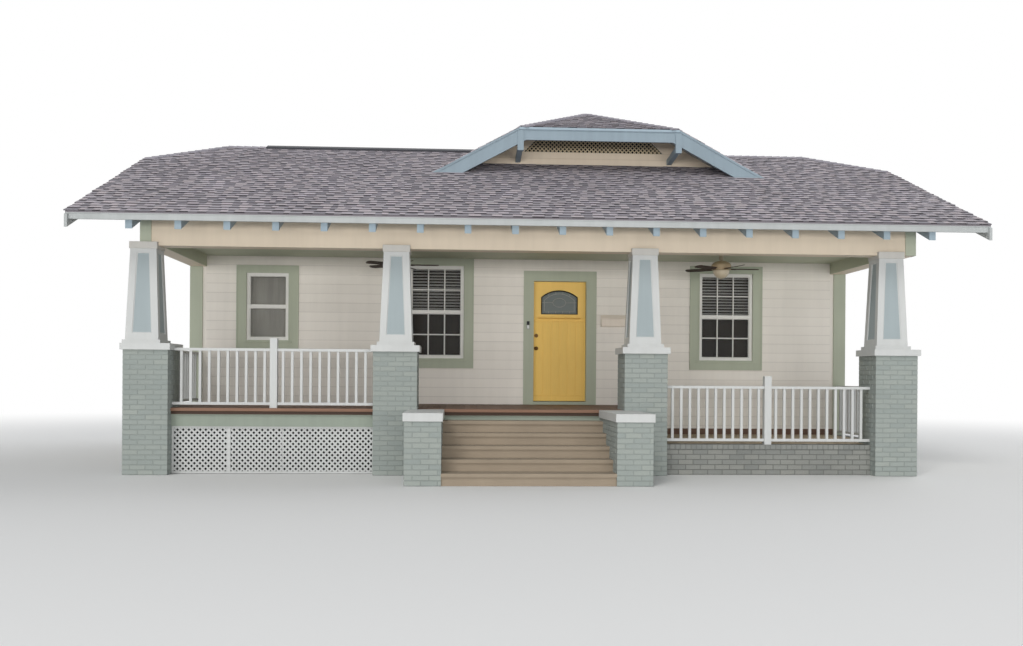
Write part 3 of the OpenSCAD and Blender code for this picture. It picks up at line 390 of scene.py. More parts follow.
def shingle(surface, outline, holes, sizes, seed, ragged=0.0):
    """Shingles: each course is cut into tabs of seeded widths, each a wedge of its own thickness, by
    turns a light tooth with a positive tone and a dark gap with a negative one.
    The ends of the courses reach past the outline by up to ragged. Returns the blocks, a tone for
    each, and for its four corners how far up the course they lie."""
    dice = np.random.default_rng(seed)
    rows_found = courses(outline, holes, sizes.exposure)
    widest = max(outline[2]) - min(outline[1])
    count = int(widest / sizes.tab_least) + 2
    rows = rows_found[2].max() + 1
    widths = dice.uniform(sizes.tab_least, sizes.tab_most, (rows, count))
    joints = min(outline[1]) - dice.uniform(0, sizes.tab_most, (rows, 1)) + np.cumsum(widths, axis=1)
    thick = sizes.thick * dice.uniform(0.55, 1.0, (rows, count + 1))
    tone = dice.uniform(0.1, 1, (rows, count + 1)) * (1 - 2 * (np.arange(count + 1) % 2))
    reach = dice.uniform(0, ragged, (rows, 2))
    least, thin = 0.02, 0.002
    quads, heights, tones, ups = [], [], [], []
    for foot, head, row, low_share, high_share in zip(*rows_found):
        stretches = spans(foot, head, outline, holes)
        for place, (a0, b0, a1, b1) in enumerate(stretches):
            if place == 0:
                a0, b0 = a0 - reach[row, 0], b0 - reach[row, 0]
            if place == len(stretches) - 1:
                a1, b1 = a1 + reach[row, 1], b1 + reach[row, 1]
            inside = (joints[row] > max(a0, b0) + least) & (joints[row] < min(a1, b1) - least)
            cut = joints[row][inside]
            first = int(np.argmax(inside))
            here = slice(first, first + len(cut) + 1)
            ends = np.append(a0, cut), np.append(b0, cut), np.append(cut, a1), np.append(cut, b1)
            quads.append(course_quads(ends, foot, head))
            body = thick[row][here, None]
            shares = np.tile([low_share, low_share, high_share, high_share], (len(body), 1))
            heights.append(body + (thin - body) * shares)
            tones.append(tone[row][here])
            ups.append(shares)
    quads = np.concatenate(quads)
    return (blocks(surface, quads, quads, -0.004, np.concatenate(heights)), np.concatenate(tones),
            np.concatenate(ups))

def caps(start, end, normal_a, normal_b, sizes, limit=np.inf):
    """Ridge caps: along a ridge line each cap is two wedges that meet on it, one on each slope. The
    meeting edge is raised along the sum of the two normals so that both slopes join. What would reach
    past the limit to either side is drawn back to it along its slope."""
    start, end = np.asarray(start, dtype=float), np.asarray(end, dtype=float)
    reach = np.linalg.norm(end - start)
    way = (end - start) / reach
    count = max(1, int(round(reach / sizes.exposure)))
    foot = np.linspace(0, reach, count + 1)[:-1]
    head = foot + reach / count
    meet = (normal_a + normal_b) / (1 + normal_a @ normal_b)
    found = []
    for normal in (normal_a, normal_b):
        fall = np.cross(way, normal)
        fall = fall if fall[2] < 0 else -fall
        rows = []
        for along, thick in ((foot, 0.018), (head, 0.009)):
            base = start + along[:, None] * way
            rows.append([base, base + sizes.cap_width * fall,
                         base + thick * meet, base + sizes.cap_width * fall + thick * normal])
        (a0, a1, a2, a3), (b0, b1, b2, b3) = rows
        half = np.stack([a0, a1, b0, b1, a2, a3, b2, b3], axis=1)
        sideways = (X - (X @ normal) * normal) / (1 - (X @ normal) ** 2)
        found.append(half + (np.clip(half[:, :, :1], -limit, limit) - half[:, :, :1]) * sideways)
    return np.concatenate(found)


def bond(surface, width, height, sizes, shift=0.0):
    """Bricks in running bond over a rectangle: every second course is moved half a brick. Each brick
    is a block with its outer face drawn in a little."""
    rows = int(round(height / sizes.course))
    course = height / rows
    gap, least = sizes.joint / 2, 0.03
    u0, u1, v0 = [], [], []
    for row in range(rows):
        first = shift - (row % 2) * sizes.brick / 2
        edges = np.arange(first, width + sizes.brick, sizes.brick)
        a, b = np.clip(edges[:-1], 0, width), np.clip(edges[1:], 0, width)
        kept = b - a > least
        u0.append(np.where(a[kept] > 0, a[kept] + gap, 0))
        u1.append(np.where(b[kept] < width, b[kept] - gap, width))
        v0.append(np.full(kept.sum(), row * course))
    u0, u1, v0 = (np.concatenate(k) for k in (u0, u1, v0))
    return plates(surface, u0, u1, v0 + gap, v0 + course - gap, LAP_BED, sizes.relief, 0.0025)


def brick_box(low, high, sizes, sides="fblr"):
    """Bricks around a box. Those of the front and back reach the corners, those of the sides stop at
    the faces of the box."""
    proud = sizes.relief
    wide, deep, tall = high - low
    faces = {"f": (-Y, low), "b": (Y, high), "l": (-X, low), "r": (X, high)}
    found = []
    for out, near in (faces[side] for side in sides):
        if out[1]:
            at = plane([low[0] - proud, near[1], low[2]], X, Z, out)
            found.append(bond(at, wide + 2 * proud, tall, sizes))
        else:
            at = plane([near[0], low[1], low[2]], Y, Z, out)
            found.append(bond(at, deep, tall, sizes, sizes.brick / 2))
    return np.concatenate(found)


def clipped(points, way, outline):
    """Start and end of lines through the points, cut by a convex outline whose corners run
    anticlockwise: each edge bounds the distance along a line from one side."""
    outline = np.asarray(outline, dtype=float)
    edge = np.roll(outline, -1, axis=0) - outline
    inward = np.stack([-edge[:, 1], edge[:, 0]], axis=1)
    depth = ((points[:, None] - outline) * inward).sum(axis=2)
    rate = inward @ way
    with np.errstate(divide="ignore", invalid="ignore"):
        crossing = -depth / rate
    start = np.where(rate > 1e-9, crossing, -np.inf).max(axis=1)
    end = np.where(rate < -1e-9, crossing, np.inf).min(axis=1)
    return start, end


def lattice(surface, outline, width, pitch, low, thick):
    """Two layers of diagonal strips: each strip lies between two parallel lines cut by the outline."""
    outline = np.asarray(outline, dtype=float)
    found = []
    for layer, turn in enumerate((1, -1)):
        way = np.array([1.0, turn]) / math.sqrt(2)
        across = np.array([-way[1], way[0]])
        reach = outline @ across
        middles = np.arange(reach.min() + pitch * 0.3, reach.max(), pitch)
        near = (middles - width / 2)[:, None] * across
        far = (middles + width / 2)[:, None] * across
        near_start, near_end = clipped(near, way, outline)
        far_start, far_end = clipped(far, way, outline)
        kept = (near_end > near_start) & (far_end > far_start)
        quads = np.stack([near + near_start[:, None] * way, near + near_end[:, None] * way,
                          far + far_start[:, None] * way, far + far_end[:, None] * way], axis=1)[kept]
        found.append(blocks(surface, quads, quads, low + layer * thick, low + (layer + 1) * thick))
    return np.concatenate(found)


def mitred(big, small):
    """Four strips between the four corners of an outline and those of a smaller one."""
    return [[big[k], big[(k + 1) % 4], small[k], small[(k + 1) % 4]] for k in range(4)]


def unit_away(line, core):
    """Unit directions from a core to each point of a line."""
    away = line - core
    return away / np.linalg.norm(away, axis=1)[:, None]


def ribbon(near, far):
    """Four corners for each stretch of a strip between two lines of points."""
    return np.stack([near[:-1], near[1:], far[:-1], far[1:]], 1)


def surround(surface, u0, u1, v0, v1, width, low, inner, outer):
    """Four mitred strips inside a rectangle, with the given heights along inner and outer edges."""
    big = np.array([[u0, v0], [u1, v0], [u1, v1], [u0, v1]])
    quads = mitred(big, big + np.array([(1, 1), (-1, 1), (-1, -1), (1, -1)]) * width)
    return blocks(surface, quads, quads, low, np.array([outer, outer, inner, inner]))


def turned(profile, centre, steps=64):
    """A body of revolution about an upright axis: the points (radius, height) of a profile are
    carried round a circle. The profile starts and ends on the axis."""
    profile = np.asarray(profile, dtype=float)
    angle = np.linspace(0, 2 * math.pi, steps, endpoint=False)
    ring = np.stack([np.cos(angle), np.sin(angle)], axis=1)
    points = np.empty((len(profile), steps, 3))
    points[..., :2] = profile[:, None, :1] * ring[None] + np.asarray(centre[:2])
    points[..., 2] = profile[:, None, 1] + centre[2]
    row, column = np.meshgrid(np.arange(len(profile) - 1), np.arange(steps), indexing="ij")
    after = (column + 1) % steps
    faces = np.stack([row * steps + column, row * steps + after,
                      (row + 1) * steps + after, (row + 1) * steps + column], axis=-1)
    return points.reshape(-1, 3), faces.reshape(-1, 4)


# Materials

def add(tree, kind, inputs=None, **settings):
    """Adds a shader node; an input is a value or another node's output."""
    new = tree.nodes.new(kind)
    for key, value in settings.items():
        setattr(new, key, value)
    for key, value in (inputs or {}).items():
        if isinstance(value, bpy.types.NodeSocket):
            tree.links.new(value, new.inputs[key])
        else:
            new.inputs[key].default_value = value
    return new


def maths(tree, operation, first, *others):
    """The output of a Math node, or of a row of them that takes in more values one by one."""
    for other in others or (0.0,):
        first = add(tree, "ShaderNodeMath", {0: first, 1: other}, operation=operation).outputs[0]
    return first


def times(tree, *factors):
    """A product."""
    return maths(tree, "MULTIPLY", *factors)


def blend(tree, share, first, second, how="MIX"):
    """A colour Mix node's output."""
    return add(tree, "ShaderNodeMix", {0: share, 6: first, 7: second}, data_type="RGBA",
               blend_type=how).outputs[2]


def noise(tree, vector, scale, detail=3.0, rough=0.5):
    """A noise between 0 and 1."""
    return add(tree, "ShaderNodeTexNoise", {"Vector": vector, "Scale": scale, "Detail": detail,
                                            "Roughness": rough}).outputs[0]


def centred(tree, value):
    """A value between 0 and 1 moved to lie about 0."""
    return maths(tree, "SUBTRACT", value, 0.5)


def carried(tree, value, low, high, first, last, **settings):
    """A value carried from one range to another and held at its ends."""
    return add(tree, "ShaderNodeMapRange", {"Value": value, 1: low, 2: high, 3: first, 4: last},
               **settings).outputs[0]


def stored(tree, name):
    """A value stored on the corners of the mesh."""
    return add(tree, "ShaderNodeAttribute", attribute_name=name).outputs["Fac"]


def object_place(tree):
    """The place on the object."""
    return add(tree, "ShaderNodeTexCoord").outputs["Object"]


def lit(tree, shade, *lights):
    """A colour made lighter by the sum of the given shares, or darker where they are negative."""
    factor = maths(tree, "ADD", *lights, 1.0)
    grey = add(tree, "ShaderNodeCombineColor", {0: factor, 1: factor, 2: factor}).outputs[0]
    return blend(tree, 1.0, shade, grey, "MULTIPLY")


def paint_look(tree, place, given):
    """Weathered paint: broad fading, faint upright run-off streaks, fine brush relief, and soiling
    that fades out a little above the ground."""
    upright = add(tree, "ShaderNodeMapping", {"Vector": place, "Scale": (9, 9, 0.7)}).outputs[0]
    height = add(tree, "ShaderNodeSeparateXYZ", {0: place}).outputs[2]
    splash = times(tree, carried(tree, height, 0.0, 0.45, 1.0, 0.0), noise(tree, place, 3.5, 4))
    fine = noise(tree, place, 60, 3)
    shade = lit(tree, given["Color"],
                times(tree, centred(tree, noise(tree, place, 0.9, 4)), given["Fading"], 4.0),
                times(tree, centred(tree, noise(tree, upright, 1.0, 5, 0.6)), given["Streaks"], 3.0),
                times(tree, stored(tree, "tone"), given["Board tone"]), times(tree, splash, -0.22))
    return (shade, maths(tree, "ADD", given["Gloss"], times(tree, fine, 0.18)),
            maths(tree, "ADD", fine, times(tree, noise(tree, place, 12, 2), 0.5)))


def timber_look(tree, place, given):
    """Worn boards: long grain from a stretched noise, patches of wear, a tone for each board."""
    stretched = add(tree, "ShaderNodeVectorMath", {0: place, 1: given["Along"]}, operation="MULTIPLY")
    grain = noise(tree, stretched.outputs[0], 1.0, 6, 0.65)
    wear = centred(tree, noise(tree, place, 2.2, 5, 0.6))
    shade = lit(tree, given["Color"], times(tree, centred(tree, grain), given["Grain"], 2.5),
                times(tree, wear, given["Wear"]), times(tree, stored(tree, "tone"), given["Board tone"]))
    return shade, maths(tree, "ADD", 0.55, times(tree, grain, 0.25)), grain


def mineral_look(tree, place, given):
    """Granules and fired clay: a warm and a cool second colour by piece, fine speckle and patches."""
    tone, mixed = stored(tree, "tone"), given["Color"]
    for side, second in ((1.0, "Warm"), (-1.0, "Cool")):
        share = maths(tree, "MAXIMUM", times(tree, tone, side), 0.0)
        mixed = blend(tree, times(tree, share, given["Mixing"]), mixed, given[second])
    speckle = noise(tree, place, given["Grain size"], 2, 0.7)
    patch = centred(tree, noise(tree, place, 1.1, 4))
    shade = lit(tree, mixed, times(tree, centred(tree, speckle), given["Speckle"], 4.0),
                times(tree, patch, given["Patches"], 4.0))
    return shade, maths(tree, "ADD", 0.78, times(tree, speckle, 0.2)), speckle


# Shared looks: what builds each, and its inputs beside the place.
LOOKS = {
    "paint": (paint_look, {"Color": (0.8, 0.8, 0.8, 1), "Fading": 0.06, "Streaks": 0.06, "Board tone": 0.03,
                           "Gloss": 0.45}),
    "timber": (timber_look, {"Color": (0.5, 0.4, 0.3, 1), "Along": (40, 2.5, 40), "Grain": 0.25,
                             "Wear": 0.2, "Board tone": 0.12}),
    "mineral": (mineral_look, {"Color": (0.3, 0.3, 0.3, 1), "Warm": (0.35, 0.3, 0.28, 1),
                               "Cool": (0.25, 0.27, 0.3, 1), "Mixing": 0.6, "Speckle": 0.25,
                               "Grain size": 180.0, "Patches": 0.15}),
}
FINISHES = {}


def shared_group(name):
    """The shader node group of a look: a colour, a roughness and a height for each place. It is built
    the first time it is asked for."""
    if name in bpy.data.node_groups:
        return bpy.data.node_groups[name]
    build, inputs = LOOKS[name]
    tree = bpy.data.node_groups.new(name, "ShaderNodeTree")
    socket = tree.interface.new_socket
    socket("Vector", in_out="INPUT", socket_type="NodeSocketVector")
    for key, value in inputs.items():
        kind = {1: "NodeSocketFloat", 3: "NodeSocketVector", 4: "NodeSocketColor"}[np.size(value)]
        socket(key, in_out="INPUT", socket_type=kind).default_value = value
    outputs = {"Color": "NodeSocketColor", "Roughness": "NodeSocketFloat", "Height": "NodeSocketFloat"}
    for key, kind in outputs.items():
        socket(key, in_out="OUTPUT", socket_type=kind)
    given = tree.nodes.new("NodeGroupInput").outputs
    add(tree, "NodeGroupOutput", dict(zip(outputs, build(tree, given["Vector"], given))))
    return tree


def surface_finish(name, look, shade, relief=0.15, metallic=0.0, coat=0.0, **values):
    """A material that feeds a Principled shader from a shared look, whose inputs are given by their
    names in small letters and with underscores."""
    material = FINISHES[name] = bpy.data.materials.new(name)
    material.use_nodes = True
    tree = material.node_tree
    inputs = {"Vector": object_place(tree)}
    for key, value in {"color": shade, **values}.items():
        value = (*value, 1) if key in ("color", "warm", "cool") else value
        inputs[key.replace("_", " ").capitalize()] = value
    made = add(tree, "ShaderNodeGroup", inputs, node_tree=shared_group(look)).outputs
    bump = add(tree, "ShaderNodeBump", {"Strength": relief, "Distance": 0.002, "Height": made["Height"]})
    shader = tree.nodes["Principled BSDF"].inputs
    tree.links.new(made["Color"], shader["Base Color"])
    tree.links.new(made["Roughness"], shader["Roughness"])
    tree.links.new(bump.outputs[0], shader["Normal"])
    shader["Metallic"].default_value = metallic
    shader["Coat Weight"].default_value = coat


def overlaid(name, shade, share, *values):
    """Lays a colour over a finish, by a share that a function makes in its node tree."""
    tree = FINISHES[name].node_tree
    base = tree.nodes["Principled BSDF"].inputs["Base Color"]
    tree.links.new(blend(tree, share(tree, *values), base.links[0].from_socket, (*shade, 1)), base)


def painted_lap_shade(tree):
    """Painted shade on the head of each board, where the butt of the next board would shade it."""
    return carried(tree, stored(tree, "up"), 0.88, 0.98, 0.0, 0.17)


def printed_bands_and_painted_shade(tree, depth):
    """The head of each shingle, as in the notches of a laminated shingle: a faint band on the teeth,
    a deeper one on the gaps, begun at a height set by the tone; it stands both for the print of the
    shingle and for painted shade under the butt of the next course. The butts are darker, a painted
    shadow line, most of all those of the teeth."""
    up, tone = stored(tree, "up"), stored(tree, "tone")
    wave = times(tree, centred(tree, noise(tree, object_place(tree), 9, 3)), 0.3)
    gap = maths(tree, "LESS_THAN", tone, 0.0)
    start = maths(tree, "ADD", 0.6, times(tree, tone, gap, 0.2), wave)
    band = times(tree, maths(tree, "GREATER_THAN", up, start),
                 maths(tree, "ADD", 0.15, times(tree, gap, 0.6)))
    # Painted shadow line at the butt of each shingle.
    butt = times(tree, maths(tree, "LESS_THAN", up, 0.02),
                 maths(tree, "SUBTRACT", 1.0, times(tree, gap, 0.35)))
    return times(tree, maths(tree, "MAXIMUM", band, butt), depth)


def fan_axes():
    """Places of the left and the right fan along X, and their common place along Y."""
    mounts = solids("fan_mounts")
    left, right = sorted({round(float(v), 3) for v in mounts[:, :, 0].mean(axis=1)})
    return left, right, float(mounts[0, :, 1].mean())


def fan_middles(tree):
    """The housings of both rotors, by the distance from the own axis. The two axes are mirrored about
    the middle between them, so one folded place serves both."""
    left, right, depth = fan_axes()
    place = add(tree, "ShaderNodeSeparateXYZ", {0: object_place(tree)}).outputs
    folded = maths(tree, "ABSOLUTE", maths(tree, "SUBTRACT", place[0], (left + right) / 2))
    across = maths(tree, "SUBTRACT", folded, (right - left) / 2)
    away = maths(tree, "SUBTRACT", place[1], depth)
    square = maths(tree, "ADD", times(tree, across, across), times(tree, away, away))
    return maths(tree, "LESS_THAN", maths(tree, "SQRT", square), FAN_RADIUS)


def glass_finish(name, tint, cover):
    """Glass as a dark glossy pane that lets part of the light through."""
    surface_finish(name, "paint", tint, 0.02, fading=0.1, streaks=0.0, gloss=0.02, board_tone=0.0)
    tree = FINISHES[name].node_tree
    shader = tree.nodes["Principled BSDF"].inputs
    tree.links.remove(shader["Roughness"].links[0])
    shader["Roughness"].default_value = 0.03
    shader["Alpha"].default_value = cover


def tinted(shade, factor, warm=0.0):
    """A colour made lighter or darker, and warmer with a positive last value."""
    return tuple(min(1, part * factor * (1 + turn)) for part, turn in zip(shade, (warm, 0, -warm)))


def make_finishes(paints, band):
    """All finishes by name, built from the paint colours."""
    def paint(name, shade, **values):
        surface_finish(name, "paint", shade, **values)

    def timber(name, shade, relief=0.2, along=(2.2, 45, 45), **values):
        surface_finish(name, "timber", shade, relief, along=along, **values)

    def mineral(name, shade, warm, cool, relief=0.4, base=(1.0, 0.0), **values):
        surface_finish(name, "mineral", tinted(shade, *base), relief, warm=tinted(shade, *warm),
                       cool=tinted(shade, *cool), **values)

    paint("siding", paints.siding, fading=0.04, streaks=0.04)
    paint("beam_siding", paints.beam, fading=0.05, streaks=0.05)
    # Painted shade lines under the laps of the siding boards.
    for name in ("siding", "beam_siding"):
        overlaid(name, srgb(70, 66, 60), painted_lap_shade)
    paint("sage", paints.sage, fading=0.05)
    paint("skirt", tinted(paints.sage, 0.68, -0.06), fading=0.05)
    paint("ceiling", paints.ceiling, fading=0.05, streaks=0.0)
    paint("pale", paints.pale, fading=0.06, streaks=0.08)
    paint("pale_edge", tinted(paints.blue, 1.25), fading=0.05)
    paint("blue", paints.blue, fading=0.07, streaks=0.08)
    paint("white", paints.white, fading=0.04, streaks=0.05)
    paint("panel", paints.panel, fading=0.05, streaks=0.05)
    paint("capital", tinted(paints.white, 0.95, 0.05), fading=0.05)
    # A lighter copy of the white trim for the window frames: painted light against the shade they sit in.
    paint("sash", tinted(paints.white, 1.35, 0.03), fading=0.05)
    # The vent lattice colour holds some painted shade from the dormer's overhang.
    paint("vent_lattice", paints.vent, fading=0.05)
    paint("door", paints.door, fading=0.05, streaks=0.05, gloss=0.3)
    paint("mortar", tinted(paints.brick, 0.93), fading=0.08, streaks=0.08, gloss=0.6)
    paint("base_mortar", tinted(paints.base_brick, 0.72), fading=0.08, gloss=0.7)
    paint("mailbox", tinted(paints.siding, 0.9, 0.06), gloss=0.3)
    paint("bell_cover", tinted(paints.white, 1.3), gloss=0.25)
    # A dark sheet behind the glass: painted shade standing for the dark rooms, with faint fabric streaks.
    paint("dark_room_shade", srgb(66, 60, 54), streaks=0.3, gloss=0.7)
    paint("shade", srgb(186, 184, 176), fading=0.2, streaks=0.3, gloss=0.6)
    paint("blind", srgb(236, 236, 232), streaks=0.0, gloss=0.4)
    # Near-black sheets behind the lattices: painted shade for the dark spaces behind them.
    paint("screen", srgb(16, 16, 18), gloss=0.7)

    mineral("brick", paints.brick, (1.08, 0.02), (0.9, -0.02), 0.3, speckle=0.06, grain_size=90.0,
            patches=0.05)
    mineral("base_brick", paints.base_brick, (1.1, 0.02), (0.8, -0.02), speckle=0.12, grain_size=90.0,
            patches=0.1)
    mineral("shingles", paints.shingles, (1.15, 0.06), (0.6, -0.05), speckle=0.2, grain_size=160.0,
            patches=0.12)
    # Printed bands and painted shade under the butts, laid over the shingles.
    overlaid("shingles", srgb(28, 25, 30), printed_bands_and_painted_shade, band)
    mineral("roof_edge", paints.shingles, (0.6,), (0.5,), base=(0.55,))
    mineral("ridge_caps", paints.shingles, (0.92,), (0.66, -0.04), base=(0.78, -0.03), speckle=0.2,
            grain_size=160.0)

    for name, shade in (("deck", paints.deck), ("low_deck", srgb(156, 140, 116))):
        timber(name, shade, 0.3, (45, 2.2, 45))
    # A lighter copy of the deck colour for the nosing: painted sunlight on the deck's edge.
    timber("deck_painted_sunlight", tinted(paints.deck, 1.6, 0.04))
    # A dark copy of the deck colour: painted shadow under the nosing.
    timber("deck_shadow_paint", tinted(paints.deck, 0.3, 0.04))
    timber("steps", paints.steps, grain=0.12, wear=0.3, board_tone=0.05)
    timber("floor_wood", srgb(150, 116, 82))
    timber("door_timber", paints.door, 0.15, (60, 60, 2.5), grain=0.06, wear=0.08, board_tone=0.03)
    timber("fan", paints.blade, 0.15, (30, 30, 30), grain=0.1)
    overlaid("fan", paints.housing, fan_middles)

    bare = {"fading": 0.05, "streaks": 0.0, "board_tone": 0.0}
    paint("ridge_metal", paints.ridge_metal, **bare)
    paint("dark_metal", srgb(52, 48, 46), gloss=0.25, metallic=0.8, **bare)
    paint("hardware", srgb(122, 92, 56), gloss=0.3, metallic=0.7, **bare)
    paint("came", srgb(158, 156, 148), gloss=0.3, metallic=0.3, **bare)
    paint("steel", srgb(176, 176, 174), gloss=0.25, metallic=1.0, **bare)
    paint("fan_metal", tinted(paints.housing, 1.1), gloss=0.3, metallic=0.3, **bare)
    paint("black_plastic", srgb(22, 22, 24), gloss=0.3, **bare)
    paint("bowl", srgb(190, 177, 154), gloss=0.2, coat=0.6, **bare)
    glass_finish("glass", srgb(40, 46, 50), 0.16)
    glass_finish("leaded_glass", srgb(120, 128, 126), 0.8)


# Pieces

class Maker:
    """Shared form of the operators."""
    bl_options = {"REGISTER", "UNDO"}

    def execute(self, context):
        self.make(context.scene)
        return {"FINISHED"}


class BUNGALOW_OT_finishes(Maker, bpy.types.Operator):
    """Builds the finishes and gives each node of the frame its own"""
    bl_idname = "bungalow.finishes"
    bl_label = "Finishes of the frame"

    def make(self, scene):
        make_finishes(scene.bungalow_paints, scene.bungalow_roof.band)
        by_finish = {
            "siding": "front_wall_left front_wall_right front_wall_over_door left_wall right_wall back_wall "
                      "gable_walls dormer_walls",
            "beam_siding": "front_beam side_beams",
            "sage": "corner_boards door_frame window_casings",
            "skirt": "deck_skirt",
            "ceiling": "porch_ceiling",
            "pale": "eave_fascia rake_boards",
            "blue": "rafter_tails dormer_bargeboards dormer_brackets",
            "white": "pier_caps column_1 column_2 column_3 column_4 cheek_caps left_railings right_railings "
                     "porch_lattice",
            "sash": "window_frames",
            "vent_lattice": "dormer_vents",
            "mortar": "piers cheek_walls foundation",
            "base_mortar": "lower_porch_base",
            "roof_edge": "main_roof dormer_roof",
            "ridge_metal": "ridge_vent",
            "deck": "porch_deck",
            "low_deck": "lower_porch_floor",
            "floor_wood": "house_floor",
            "steps": "front_steps",
            "door": "front_door",
            "leaded_glass": "door_light",
            "hardware": "door_hardware",
            "steel": "hinge_pins hinge_leaves",
            "glass": "window_glass",
            "fan_metal": "fan_mounts",
            "fan": "fan_rotor_left fan_rotor_right",
            "mailbox": "mailbox",
            "black_plastic": "doorbell",
        }
        left = set(NODES)
        for finish, names in by_finish.items():
            for name in names.split():
                NODES[name].data.materials.clear()
                NODES[name].data.materials.append(FINISHES[finish])
                left.discard(name)
        if left:
            raise RuntimeError(f"no finish for {sorted(left)}")


def wall_holes(wall_axis, wall_place):
    """Holes of one wall as level shapes: the windows whose frames lie near it."""
    along, near, grow = 1 - wall_axis, 0.2, 0.03
    return [oblong(low[2] - grow, high[2] + grow, low[along] - grow, high[along] + grow)
            for low, high in solids("window_frames")
            if abs((low[wall_axis] + high[wall_axis]) / 2 - wall_place) < near]


class BUNGALOW_OT_siding(Maker, bpy.types.Operator):
    """Lap siding on the walls, gables, dormer and porch beam"""
    bl_idname = "bungalow.siding"
    bl_label = "Lap siding"

    def make(self, scene):
        sizes = scene.bungalow_walls
        lap = (sizes.exposure, sizes.butt, sizes.thin)
        frame_low, frame_high = corners("door_frame")
        margin = 0.06
        door = oblong(DECK_HIGH[2] - 0.5, frame_high[2] - margin, frame_low[0] + margin,
                      frame_high[0] - margin)
        step_x, inner_x = DECK_HIGH[0], CEILING_HIGH[0]
        front = ((corners("lower_porch_floor")[1][2], DECK_HIGH[2], DECK_HIGH[2] + 1e-4, CEILING_LOW[2]),
                 (step_x, step_x, -inner_x, -inner_x), (inner_x,) * 4)
        rear = oblong(WALL_FOOT, PLATE_Z, WALL_X, -WALL_X)
        parts = [clad(facing(-Y, WALL_Y), front, wall_holes(1, WALL_Y) + [door], *lap),
                 clad(facing(Y, BACK_Y), rear, wall_holes(1, BACK_Y), *lap)]
        gable_top = corners("gable_walls")[1][2]
        rise = (gable_top - PLATE_Z) / PITCH
        body = oblong(WALL_FOOT, PLATE_Z, WALL_Y, BACK_Y)
        gable = ((PLATE_Z, gable_top), (BEAM_LOW[1], BEAM_LOW[1] + rise), (BACK_Y, BACK_Y - rise))
        for side in (-1, 1):
            at = facing(side * X, side * -WALL_X)
            parts += [clad(at, body, wall_holes(0, side * -WALL_X), *lap), clad(at, gable, [], *lap)]
        self.piece("wall_siding", parts, "siding", "siding", 3)

        foot = corners("dormer_walls")[0][2]
        top = TENT_CLIP_Z - SLAB + TENT_HIP_PITCH * (TENT_WALL_Y - TENT_Y)
        tent = balanced((foot, top), TENT_X, [(TENT_HIGH[2] - SLAB - level) / TENT_PITCH - 0.005
                                              for level in (foot, top)])
        vent_low, vent_high = corners("dormer_vents")
        half = (vent_high[0] - vent_low[0]) / 2 + 0.004
        hole = balanced((vent_low[2] - 0.002, vent_high[2] + 0.002), TENT_X,
                        (half, half - (vent_high[2] - vent_low[2])))
        parts = [clad(facing(out, y), tent, [hole], 0.11, 0.012, 0.003)
                 for y, out in ((TENT_WALL_Y, -Y), (2 * RIDGE_Y - TENT_WALL_Y, Y))]
        self.piece("dormer_siding", parts, "beam_siding", "siding", 4)

        tall, butt = PLATE_Z - BEAM_LOW[2], 0.012
        strip = oblong(BEAM_LOW[2], PLATE_Z - 0.005, BEAM_LOW[0], BEAM_HIGH[0])
        side = oblong(BEAM_LOW[2], PLATE_Z - 0.005, BEAM_LOW[1], WALL_Y)
        parts = [clad(facing(-Y, BEAM_LOW[1]), strip, [], tall, butt, 0.006)]
        parts += [clad(facing(end * X, end * BEAM_HIGH[0]), side, [], 0.158, butt, 0.003) for end in (-1, 1)]
        self.piece("beam_siding", parts, "beam_siding", "cream_siding", 5)
        foot = plates(facing(-Y, BEAM_LOW[1]), BEAM_LOW[0], BEAM_HIGH[0], BEAM_LOW[2],
                      BEAM_LOW[2] + 0.028, 0.002, 0.016, 0.002)
        block_piece("beam_foot", [foot], "beam_siding", seed=40)

    def piece(self, name, parts, finish, slot, seed):
        """One piece from several clad faces."""
        found, ups = zip(*parts)
        block_piece(name, found, finish, ups=np.concatenate(ups), seed=seed)


def slope(run_axis, sign, place, pitch):
    """A roof plane that rises along sign times run_axis from a point on its lower edge. The first
    direction runs along the eave."""
    hypotenuse = math.hypot(1, pitch)
    run = (X, Y)[run_axis] * sign
    return plane(place, (Y, X)[run_axis], (run + pitch * Z) / hypotenuse, (Z - pitch * run) / hypotenuse)


